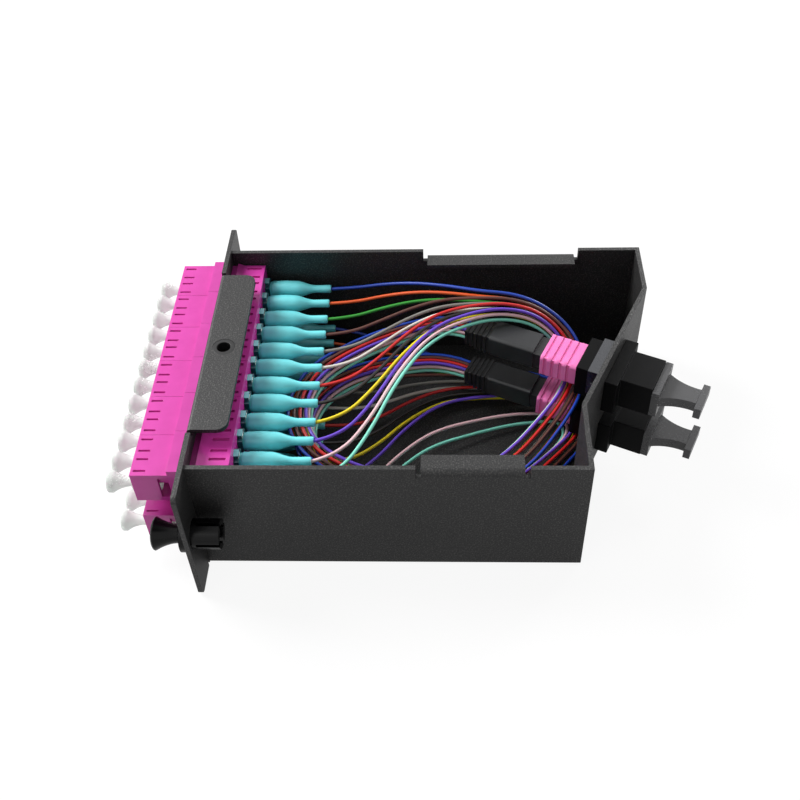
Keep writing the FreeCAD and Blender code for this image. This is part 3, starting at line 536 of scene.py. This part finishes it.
def finish_piece(bm: bmesh.types.BMesh, name: str, finish: Finish, body: str,
                 node: str) -> bpy.types.Object:
    """Turn a mesh into a piece that stands for a CAD node and rides on its body.

    Args:
        bm: The mesh, which is freed.
        name: The piece's name.
        finish: Its finish.
        body: The CAD body that it rides on.
        node: The CAD node that it replaces.

    Returns:
        The new object.
    """
    for face in bm.faces:
        face.smooth = True
    for edge in bm.edges:
        edge.smooth = not is_sharp(edge, SMOOTH_LIMIT)
    mesh = bpy.data.meshes.new(name)
    bm.to_mesh(mesh)
    bm.free()
    piece = bpy.data.objects.new(name, mesh)
    bpy.context.scene.collection.objects.link(piece)
    mesh.materials.append(finish.material())
    piece.modifiers.new("face_normals", "WEIGHTED_NORMAL").keep_sharp = True
    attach(piece, body)
    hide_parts(node)
    LOG.info("%s: %d faces on %s", name, len(mesh.polygons), body)
    return piece


def spun(profile: list[Pair], steps: int) -> bmesh.types.BMesh:
    """A closed solid of revolution about Y.

    Args:
        profile: (radius, along) points in metres, from axis to axis.
        steps: Facets round the axis.

    Returns:
        The mesh about the origin.
    """
    bm = bmesh.new()
    points = [bm.verts.new((radius, along, 0.0)) for radius, along in profile]
    edges = [bm.edges.new(pair) for pair in zip(points, points[1:])]
    bmesh.ops.spin(bm, geom=points + edges, cent=(0, 0, 0), axis=(0, 1, 0), angle=math.tau, steps=steps,
                   use_merge=True)
    bmesh.ops.remove_doubles(bm, verts=bm.verts, dist=SPUN_DOUBLES)
    bmesh.ops.recalc_face_normals(bm, faces=bm.faces)
    return bm


def repeated(bm: bmesh.types.BMesh, places: list[Vector]) -> bmesh.types.BMesh:
    """Copy a mesh to several places within one mesh.

    Args:
        bm: The mesh about the origin.
        places: Where its copies go.

    Returns:
        The same mesh, with a copy at each place.
    """
    first = list(bm.verts) + list(bm.edges) + list(bm.faces)
    for place in places[1:]:
        copy = bmesh.ops.duplicate(bm, geom=first)["geom"]
        moved = [part for part in copy if isinstance(part, bmesh.types.BMVert)]
        bmesh.ops.translate(bm, verts=moved, vec=place - places[0])
    bmesh.ops.translate(bm, verts=bm.verts, vec=places[0])
    return bm


def eased(start: Pair, end: Pair, steps: int) -> list[Pair]:
    """Points on an S-shaped sweep between two (radius, along) points.

    Args:
        start: First point, left out of the result.
        end: Last point, part of the result.
        steps: Number of points.

    Returns:
        The points after the first.
    """
    points = []
    for step in range(1, steps + 1):
        share = step / steps
        bend = 0.5 - 0.5 * math.cos(math.pi * share)
        points.append((start[0] + (end[0] - start[0]) * bend, start[1] + (end[1] - start[1]) * share))
    return points


def flared(start: Pair, end: Pair, steps: int, power: float) -> list[Pair]:
    """Points on a trumpet-shaped sweep from a rim to a stem.

    Args:
        start: The rim's (radius, along) point, left out of the result.
        end: The stem's point, part of the result.
        steps: Number of points.
        power: How fast the sweep leaves the rim.

    Returns:
        The points after the first.
    """
    points = []
    for step in range(1, steps + 1):
        share = step / steps
        flare = (1 - share) ** power
        points.append((end[0] + (start[0] - end[0]) * flare, start[1] + (end[1] - start[1]) * share))
    return points


# ---------------------------------------------------------------- the object


@dataclass
class SubAssembly:
    """Pieces of the cassette that come from CAD nodes."""

    nodes: dict[str, bpy.types.Object]

    def soften(self, node: str, name: str, finish: Finish, slot: str, edge: float,
               body: str = ROOT_BODY) -> bpy.types.Object:
        """Make a piece from a CAD node: merged, with its flat faces joined and its edges rounded.

        Args:
            node: The CAD node.
            name: The new piece's name.
            finish: Its finish.
            slot: The record's material slot, which is not used.
            edge: Bevel width in metres.
            body: The CAD body that it rides on.

        Returns:
            The new object.
        """
        bm = bmesh.new()
        bm.from_mesh(self.nodes[node].data)
        bmesh.ops.remove_doubles(bm, verts=bm.verts, dist=CAD_DOUBLES)
        bmesh.ops.dissolve_limit(bm, angle_limit=FLAT_LIMIT, verts=bm.verts, edges=bm.edges)
        sharp = [line for line in bm.edges if is_sharp(line, EDGE_LIMIT)]
        bmesh.ops.bevel(bm, geom=sharp, offset=edge, affect="EDGES", segments=BEVEL_STEPS, profile=0.5,
                        material=-1, clamp_overlap=True)
        return finish_piece(bm, name, finish, body, node)


@dataclass
class Tray(SubAssembly):
    """The folded tray and the nut in its top tab."""

    edge: float = 0.22 * MM

    def build(self) -> None:
        """Dress both with broken edges."""
        self.soften("cassette_tray", "folded_tray", SHEET_COAT, "powder_coat", self.edge)
        self.soften("cover_nut", "blind_nut", NUT_OXIDE, "nut_black", self.edge)


@dataclass
class LcRow(SubAssembly):
    """One row of duplex adapters with the plugs, boots and caps in them."""

    row: Row
    adapters: int = 6
    port_pitch: float = 6.25 * MM
    adapter_edge: float = 0.22 * MM
    plug_edge: float = 0.16 * MM
    # How far below the plugs' top the painted highlight on the levers' tips reaches.
    painted_highlight_depth: float = 0.35 * MM
    barrel: float = 2.5 * MM
    neck: float = 1.15 * MM
    boot_crown: float = 0.12 * MM
    boot_lip: float = 0.4 * MM
    swell_share: float = 0.26
    shoulder_share: float = 0.42
    waist_share: float = 0.75
    rim: float = 2.75 * MM
    rim_depth: float = 1.2 * MM
    rim_round: float = 0.25 * MM
    dish_share: float = 0.55
    dish_edge_share: float = 0.7
    stem: float = 1.25 * MM
    flare_share: float = 0.8
    flare_power: float = 2.2
    foot_rise: float = 0.3 * MM
    foot_spread: float = 0.5 * MM
    spigot: float = 2.1 * MM
    lip_steps: int = 3
    crown_steps: int = 4
    shoulder_steps: int = 14
    flare_steps: int = 10
    facets: int = 28
    places: list[Vector] = field(default_factory=list)

    def build(self) -> None:
        """Build the row from the front to the back."""
        self.find_ports()
        self.build_adapters()
        self.build_caps()
        self.build_plugs()
        self.build_boots()

    def find_ports(self) -> None:
        """Work out the ports' axes from the boots and the adapters."""
        low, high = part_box(f"lc_boots_{self.row.value}")
        axis = (low[2] + high[2]) / 2
        for index in range(1, self.adapters + 1):
            near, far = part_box(f"lc_adapter_{self.row.value}_{index}")
            middle = (near[0] + far[0]) / 2
            for end in (-0.5, 0.5):
                self.places.append(Vector((middle + end * self.port_pitch, 0.0, axis)))

    def build_adapters(self) -> None:
        """The six adapters with softened moulding edges."""
        for index in range(1, self.adapters + 1):
            place = f"{self.row.value}_{index}"
            self.soften(f"lc_adapter_{place}", f"duplex_adapter_{place}", ADAPTER_MAGENTA,
                        "magenta_moulding", self.adapter_edge)

    def build_plugs(self) -> None:
        """The twelve plugs in a dark teal of painted shade, with a painted highlight in pale aqua on their
        levers' tips.
        """
        node = f"lc_connectors_{self.row.value}"
        plugs = self.soften(node, f"plugs_{self.row.value}", PLUG_PAINTED_SHADE, "plug_teal", self.plug_edge)
        plugs.data.materials.append(LEVER_PAINTED_HIGHLIGHT.material())
        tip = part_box(node)[1][2] - self.painted_highlight_depth
        # Faces above this height take the painted highlight; the rest keep the dark teal of painted shade.
        for face in plugs.data.polygons:
            face.material_index = int(face.center.z > tip)

    def build_boots(self) -> None:
        """The twelve bottle-shaped boots, turned with a crowned barrel and a swept shoulder."""
        node = f"lc_boots_{self.row.value}"
        low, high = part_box(node)
        start, end = low[1], high[1]
        swell, shoulder, waist = (
            start + (end - start) * share
            for share in (self.swell_share, self.shoulder_share, self.waist_share)
        )
        crowned = self.barrel - self.boot_crown
        profile = [(0.0, start), (self.barrel - self.boot_lip, start)]
        profile += eased(profile[-1], (crowned, start + self.boot_lip * 2), self.lip_steps)
        profile += eased(profile[-1], (self.barrel, swell), self.crown_steps)
        profile += eased(profile[-1], (crowned, shoulder), self.crown_steps)
        profile += eased(profile[-1], (self.neck - self.boot_crown / 2, waist), self.shoulder_steps)
        profile += eased(profile[-1], (self.neck, end - self.boot_lip), self.crown_steps)
        profile += [(self.neck - self.boot_lip / 3, end), (0.0, end)]
        bm = repeated(spun(profile, self.facets), self.places)
        finish_piece(bm, f"boots_{self.row.value}", BOOT_AQUA, ROOT_BODY, node)

    def build_caps(self) -> None:
        """The twelve dust caps, trumpet-shaped with a rounded rim and a dished face."""
        node = f"lc_dust_caps_{self.row.value}"
        front, back = (corner[1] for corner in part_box(node))
        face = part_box(f"lc_adapter_{self.row.value}_1")[0][1]
        rim_start = front + self.rim_round
        rim_end = front + self.rim_depth
        stem_start = rim_end + (face - rim_end) * self.flare_share
        profile = [(0.0, rim_start), (self.rim * self.dish_share, rim_start)]
        profile += [(self.rim * self.dish_edge_share, front), (self.rim - self.rim_round, front)]
        profile += [(self.rim, rim_start), (self.rim, rim_end)]
        profile += flared(profile[-1], (self.stem, stem_start), self.flare_steps, self.flare_power)
        profile += [(self.stem, face - self.foot_rise), (self.stem + self.foot_spread, face)]
        profile += [(self.spigot, face), (self.spigot, back), (0.0, back)]
        bm = repeated(spun(profile, self.facets), self.places)
        finish_piece(bm, f"dust_caps_{self.row.value}", CAP_MILK, ROOT_BODY, node)


@dataclass
class MpoPort(SubAssembly):
    """One MPO port in the angled wall with its plug and dust cap."""

    row: Row
    boot_edge: float = 0.15 * MM
    housing_edge: float = 0.125 * MM
    sleeve_edge: float = 0.10 * MM
    adapter_edge: float = 0.20 * MM
    clip_edge: float = 0.05 * MM
    cap_edge: float = 0.25 * MM

    def build(self) -> None:
        """Build the port from the fibres' side outwards."""
        row = self.row.value
        self.soften(f"mpo_boot_{row}", f"ribbed_boot_{row}", RIB_BLACK, "black_moulding", self.boot_edge)
        self.soften(f"mpo_housing_{row}", f"plug_housing_{row}", HOUSING_BLACK, "black_moulding",
                    self.housing_edge)
        self.soften(f"mpo_sleeve_{row}", f"coupling_sleeve_{row}", SLEEVE_ROSE, "sleeve_rose",
                    self.sleeve_edge, f"sleeve_{row}")
        self.soften(f"mpo_adapter_{row}", f"wall_adapter_{row}", MPO_BLACK, "black_moulding",
                    self.adapter_edge)
        self.soften(f"mpo_clip_{row}", f"saddle_clip_{row}", CLIP_METAL, "spring_metal", self.clip_edge)
        self.soften(f"mpo_dust_cap_{row}", f"bar_cap_{row}", CAP_SMOKE, "cap_black", self.cap_edge,
                    f"cap_{row}")


@dataclass
class Latch(SubAssembly):
    """A push-pull latch on an ear.

    The knob's crown is given as shares of its radius and how far each lies behind its front.
    """

    side: Side
    facets: int = 40
    crown: tuple[Pair, ...] = ((0.6, 0.06 * MM), (0.86, 0.2 * MM), (0.97, 0.5 * MM), (1.0, 0.8 * MM))
    flare_power: float = 1.9
    flare_steps: int = 12
    neck: float = 2.3 * MM
    neck_gap: float = 0.7 * MM
    shank: float = 2.0 * MM
    shank_point: float = 0.7 * MM
    grommet_edge: float = 0.12 * MM

    def build(self) -> None:
        """Turn the plunger and dress the grommet."""
        side = self.side.value
        node = f"latch_plunger_{side}"
        grommet = f"latch_grommet_{side}"
        low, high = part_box(node)
        rim = (high[0] - low[0]) / 2
        middle = Vector(((low[0] + high[0]) / 2, 0.0, (low[2] + high[2]) / 2))
        front, tip = low[1], high[1]
        neck_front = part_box(grommet)[0][1] - self.neck_gap
        profile = [(0.0, front)]
        profile += [(rim * share, front + depth) for share, depth in self.crown]
        profile += flared(profile[-1], (self.neck, neck_front), self.flare_steps, self.flare_power)
        profile += [(self.shank, neck_front), (self.shank, tip - self.shank_point)]
        profile += [(self.shank - self.shank_point, tip), (0.0, tip)]
        bm = spun(profile, self.facets)
        bmesh.ops.translate(bm, verts=bm.verts, vec=middle)
        finish_piece(bm, f"pull_knob_{side}", LATCH_BLACK, f"latch_{side}", node)
        self.soften(grommet, f"split_grommet_{side}", LATCH_BLACK, "latch_black", self.grommet_edge)


class Station(NamedTuple):
    """One place on a lay's way: where its middle is and how its fibres lie there, in millimetres.

    The heading is in degrees, the spacing is between neighbours across the lay, the rise is between its
    layers, and its strays stand off on the right.
    """

    x: float
    y: float
    z: float
    heading: float
    spacing: float
    rise: float
    stray: float = 0.0


@dataclass
class FibreLay:
    """The twelve fibres of a row along one way round the tray, with their sizes in millimetres.

    A stray is a colour and how many times its way's stray distance it stands off.
    """

    row: Row
    port_axis: float
    way: list[Station]
    tip: Triple
    tip_heading: float = 65.03
    tip_spacing: float = 0.36
    tip_rise: float = 1.0
    start: float = 27.7
    diameter: float = 0.9
    layers: int = 3
    arc_share: float = 0.45
    strays: dict[str, float] = field(default_factory=dict)
    ports: list[float] = field(default_factory=list)

    def corners(self, lane: int) -> list[Vector]:
        """The corners of one fibre's route, from its boot to the plug's boot.

        Args:
            lane: The fibre's place in the row, from the far side.

        Returns:
            The corners in metres.
        """
        corners = [Vector((self.ports[lane], self.start * MM, self.port_axis * MM))]
        tip = Station(*self.tip, self.tip_heading, self.tip_spacing, self.tip_rise)
        colour = list(BUFFER_COLOURS)[lane]
        from_middle = (len(self.ports) - 1) / 2 - lane
        layer = (self.layers - 1) / 2 - lane % self.layers
        for stop in (*self.way, tip):
            left = math.radians(stop.heading + 90)
            across = from_middle * stop.spacing - stop.stray * self.strays.get(colour, 0.0)
            x = stop.x + across * math.cos(left)
            y = stop.y + across * math.sin(left)
            corners.append(Vector((x, y, stop.z + layer * stop.rise)) * MM)
        return corners

    def cut_length(self, corners: list[Vector]) -> float:
        """The length of a fibre that rounds each corner by an arc.

        Args:
            corners: The corners of its route.

        Returns:
            Its length in metres.
        """
        total = sum((after - before).length for before, after in zip(corners, corners[1:]))
        for before, corner, after in zip(corners, corners[1:], corners[2:]):
            into, out = corner - before, after - corner
            trim = self.arc_share * min(into.length, out.length)
            turned = into.angle(out)
            total -= 2 * trim - trim / math.tan(turned / 2) * turned
        return total

    def lay(self, lane: int, colour: str) -> None:
        """Lay one fibre.

        Args:
            lane: Its place in the row, from the far side.
            colour: Its buffer's colour.
        """
        corners = self.corners(lane)
        name = f"{self.row.value}_{lane + 1:02d}_{colour}"
        curve = bpy.data.curves.new(f"fibre_line_{name}", "CURVE")
        curve.dimensions = "3D"
        spline = curve.splines.new("NURBS")
        spline.points.add(len(corners) - 1)
        for point, corner in zip(spline.points, corners):
            point.co = (*corner, 1.0)
        spline.order_u = 3
        spline.use_endpoint_u = True
        spline.resolution_u = 8
        curve.bevel_depth = self.diameter * MM / 2
        curve.bevel_resolution = 3
        curve.use_fill_caps = True
        piece = bpy.data.objects.new(f"buffered_{name}", curve)
        bpy.context.scene.collection.objects.link(piece)
        curve.materials.append(buffer_finish(colour).material())
        length = self.cut_length(corners)
        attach(piece, ROOT_BODY)
        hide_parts(f"fibre_{name}")
        LOG.info("%s: %.0f mm", piece.name, length / MM)

    def build(self) -> None:
        """Lay the twelve fibres."""
        for lane, colour in enumerate(BUFFER_COLOURS):
            self.lay(lane, colour)


UPPER_WAY = [
    Station(-0.7, 34.6, 27.6, 90, 6.22, 0.0),
    Station(-6.5, 42.5, 29.3, 88.5, 5.1, 0.0),
    Station(-13.0, 50.0, 31.3, 83, 3.5, 0.3),
    Station(-18.5, 58.5, 32.6, 76, 1.9, 0.8),
    Station(-20.3, 68.5, 33.2, 80, 0.95, 1.1),
    Station(-20.8, 77.6, 32.9, 70, 0.68, 1.3),
    Station(-19.9, 85.9, 30.4, 67, 0.5, 1.35),
    Station(-16.8, 93.1, 24.6, 43, 0.5, 1.35),
    Station(-10.0, 95.6, 19.3, 6, 0.5, 1.3),
    Station(-2.2, 93.6, 18.9, -25, 0.55, 1.3),
    Station(6.2, 88.8, 17.9, -33, 0.65, 1.3),
    Station(20.0, 78.0, 15.4, -47, 0.8, 1.3),
    Station(27.0, 65.5, 14.0, -72, 0.8, 1.3),
    Station(28.5, 50.5, 15.6, -92, 0.75, 1.3),
    Station(26.0, 36.0, 18.6, -112, 0.6, 1.3),
    Station(18.5, 24.8, 20.4, -150, 0.55, 1.3),
    Station(7.0, 21.3, 20.8, -180, 0.55, 1.3),
    Station(-5.5, 24.5, 21.4, -212, 0.5, 1.3),
    Station(-14.0, 35.0, 22.6, -238, 0.45, 1.2),
    Station(-18.9, 48.0, 25.0, -252, 0.4, 1.1),
    Station(-21.2, 60.4, 26.5, -295, 0.4, 1.05),
]
LOWER_WAY = [
    Station(-0.7, 34.6, 10.3, 90, 6.22, 0.0),
    Station(-5.5, 42.5, 8.0, 88.5, 5.0, 0.0, 1.5),
    Station(-12.5, 50.5, 6.0, 84, 3.4, 0.3, 5.5),
    Station(-17.0, 60.0, 5.0, 80, 1.9, 0.7, 8.0),
    Station(-18.0, 71.0, 4.3, 84, 1.3, 1.0, 6.8),
    Station(-17.6, 83.5, 4.0, 68, 1.05, 1.15, 5.8),
    Station(-14.6, 92.3, 4.0, 55, 0.8, 1.2, 4.4),
    Station(-8.5, 97.8, 4.0, 22, 0.55, 1.2, 2.4),
    Station(-0.2, 97.4, 4.0, -16, 0.55, 1.2, 0.8),
    Station(7.2, 92.0, 4.4, -33, 0.6, 1.2),
    Station(21.0, 79.5, 4.8, -45, 0.8, 1.2),
    Station(28.5, 68.0, 6.2, -70, 0.8, 1.2),
    Station(31.0, 54.0, 9.3, -90, 0.75, 1.2),
    Station(29.0, 39.5, 13.0, -110, 0.6, 1.2),
    Station(21.5, 27.3, 15.2, -146, 0.55, 1.2),
    Station(10.5, 22.4, 16.0, -178, 0.5, 1.2),
    Station(-2.0, 24.6, 15.8, -206, 0.5, 1.2),
    Station(-12.0, 33.8, 15.2, -234, 0.45, 1.2),
    Station(-18.7, 48.0, 13.2, -252, 0.42, 1.1),
    Station(-21.2, 60.4, 11.6, -295, 0.4, 1.05),
]


# ---------------------------------------------------------------- the studio


@dataclass(frozen=True)
class SoftBox:
    """A square soft box: its place and side in metres and its power in watts."""

    kind: Light
    place: Triple
    side: float
    power: float

    def hang(self, aim: Vector) -> None:
        """Hang it so that it faces a point.

        Args:
            aim: The point in metres.
        """
        lamp = bpy.data.lights.new(f"{self.kind.value}_light", "AREA")
        lamp.size = self.side
        lamp.energy = self.power
        box = bpy.data.objects.new(f"{self.kind.value}_light", lamp)
        box.location = self.place
        box.rotation_mode = "QUATERNION"
        box.rotation_quaternion = (aim - Vector(self.place)).to_track_quat("-Z", "Y")
        bpy.context.scene.collection.objects.link(box)


@dataclass
class Studio:
    """A plain white studio: floor, soft boxes, pale surroundings and the camera.

    The camera's target, distance, lens and sensor are in millimetres and its angles in degrees. The rest is
    in metres.
    """

    target: Triple = (-2.90, 47.93, 15.0)
    azimuth: float = 93.97
    elevation: float = 46.58
    roll: float = -2.99
    distance: float = 285.25
    lens: float = 47.28
    sensor: float = 36.0
    clip: Pair = (0.01, 20.0)
    floor_size: float = 6.0
    floor_drop: float = 0.1 * MM
    floor_tone: float = 0.5
    floor_roughness: float = 0.9
    floor_show: float = 0.8
    floor_glow: float = 1.14
    floor_gloss: float = 0.35
    surround: float = 0.25
    aim: Triple = (0.0, 0.05, 0.02)
    boxes: tuple[SoftBox, ...] = (
        SoftBox(Light.KEY, (-0.25, -0.50, 0.54), 0.35, 8.8),
        SoftBox(Light.FILL, (0.60, -0.45, 0.60), 0.5, 1.0),
        SoftBox(Light.RIM, (-0.60, 0.55, 0.30), 0.3, 5.0),
    )

    def build(self) -> None:
        """Set up the whole studio."""
        self.camera()
        self.floor()
        self.surroundings()
        for box in self.boxes:
            box.hang(Vector(self.aim))
        bpy.context.scene.view_settings.view_transform = "Standard"

    def camera(self) -> None:
        """The camera, which looks at the target and is rolled about its own axis."""
        az, el, roll = (math.radians(value) for value in (self.azimuth, self.elevation, self.roll))
        back = Vector((math.sin(az) * math.cos(el), -math.cos(az) * math.cos(el), math.sin(el)))
        right = Vector((math.cos(az), math.sin(az), 0.0))
        up = back.cross(right)
        turned_right = right * math.cos(roll) + up * math.sin(roll)
        turned_up = up * math.cos(roll) - right * math.sin(roll)
        lens = bpy.data.cameras.new("camera")
        lens.lens = self.lens
        lens.sensor_width = self.sensor
        lens.clip_start, lens.clip_end = self.clip
        camera = bpy.data.objects.new("camera", lens)
        place = (Vector(self.target) + back * self.distance) * MM
        turn = Matrix((turned_right, turned_up, back)).transposed().to_4x4()
        camera.matrix_world = Matrix.Translation(place) @ turn
        bpy.context.scene.collection.objects.link(camera)
        bpy.context.scene.camera = camera

    @staticmethod
    def seen(tree: Tree, path: Node) -> Socket:
        """Tell the rays of the eye, straight or through a clear piece, from the others.

        Args:
            tree: The tree to place the node in.
            path: Its Light Path node.

        Returns:
            A socket that is 1 for a ray of the eye and 0 for any other.
        """
        return GROUPS.math(tree, "MAXIMUM", path.outputs["Is Camera Ray"],
                           path.outputs["Is Transmission Ray"])

    def floor(self) -> None:
        """A pale floor that shows near white and keeps the object's shadow."""
        bm = bmesh.new()
        bmesh.ops.create_grid(bm, x_segments=1, y_segments=1, size=self.floor_size / 2)
        mesh = bpy.data.meshes.new("floor")
        bm.to_mesh(mesh)
        bm.free()
        floor = bpy.data.objects.new("floor", mesh)
        floor.location = (0.0, 0.0, -self.floor_drop)
        bpy.context.scene.collection.objects.link(floor)
        made, tree, shader = new_material("pale_floor")
        set_inputs(shader, {
            "Base Color": (self.floor_tone, self.floor_tone, self.floor_tone, 1.0),
            "Roughness": self.floor_roughness,
            "Specular IOR Level": 0.0,
        })
        glow = tree.nodes.new("ShaderNodeEmission")
        set_inputs(glow, {"Strength": self.floor_glow})
        path = tree.nodes.new("ShaderNodeLightPath")
        shown = GROUPS.math(tree, "MULTIPLY", self.seen(tree, path), self.floor_show)
        sheen = GROUPS.math(tree, "MULTIPLY", path.outputs["Is Glossy Ray"], self.floor_gloss)
        mixed = tree.nodes.new("ShaderNodeMixShader")
        tree.links.new(GROUPS.math(tree, "MAXIMUM", shown, sheen), mixed.inputs["Fac"])
        tree.links.new(shader.outputs["BSDF"], mixed.inputs[1])
        tree.links.new(glow.outputs["Emission"], mixed.inputs[2])
        tree.links.new(mixed.outputs["Shader"], tree.nodes["Material Output"].inputs["Surface"])
        mesh.materials.append(made)

    def surroundings(self) -> None:
        """Full white for the eye and for gloss, and a softer white where they light the object."""
        world = bpy.data.worlds.new("studio")
        world.use_nodes = True
        bpy.context.scene.world = world
        tree = world.node_tree
        path = tree.nodes.new("ShaderNodeLightPath")
        full = GROUPS.math(tree, "MAXIMUM", self.seen(tree, path), path.outputs["Is Glossy Ray"])
        extra = GROUPS.math(tree, "MULTIPLY", full, 1.0 - self.surround)
        backdrop = tree.nodes["Background"]
        set_inputs(backdrop, {"Color": WHITE})
        tree.links.new(GROUPS.math(tree, "ADD", extra, self.surround), backdrop.inputs["Strength"])


def main() -> None:
    """Load the frame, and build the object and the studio."""
    logging.basicConfig(level=logging.INFO, format="%(name)s: %(message)s")
    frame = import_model()
    nodes = frame["nodes"]
    Studio().build()
    rows = {row: LcRow(nodes, row) for row in Row}
    Tray(nodes).build()
    for lc_row in rows.values():
        lc_row.build()
    for row in Row:
        MpoPort(nodes, row).build()
    for side in Side:
        Latch(nodes, side).build()
    lays = (
        FibreLay(Row.UPPER, port_axis=27.0, way=UPPER_WAY, tip=(-18.21, 66.67, 26.65)),
        FibreLay(Row.LOWER, port_axis=11.6, way=LOWER_WAY, tip=(-18.21, 66.67, 11.25),
                 strays={"rose": 1.0, "aqua": 1.4}),
    )
    for lay in lays:
        lay.ports = [place.x for place in rows[lay.row].places]
        lay.build()


if __name__ == "__main__":
    main()
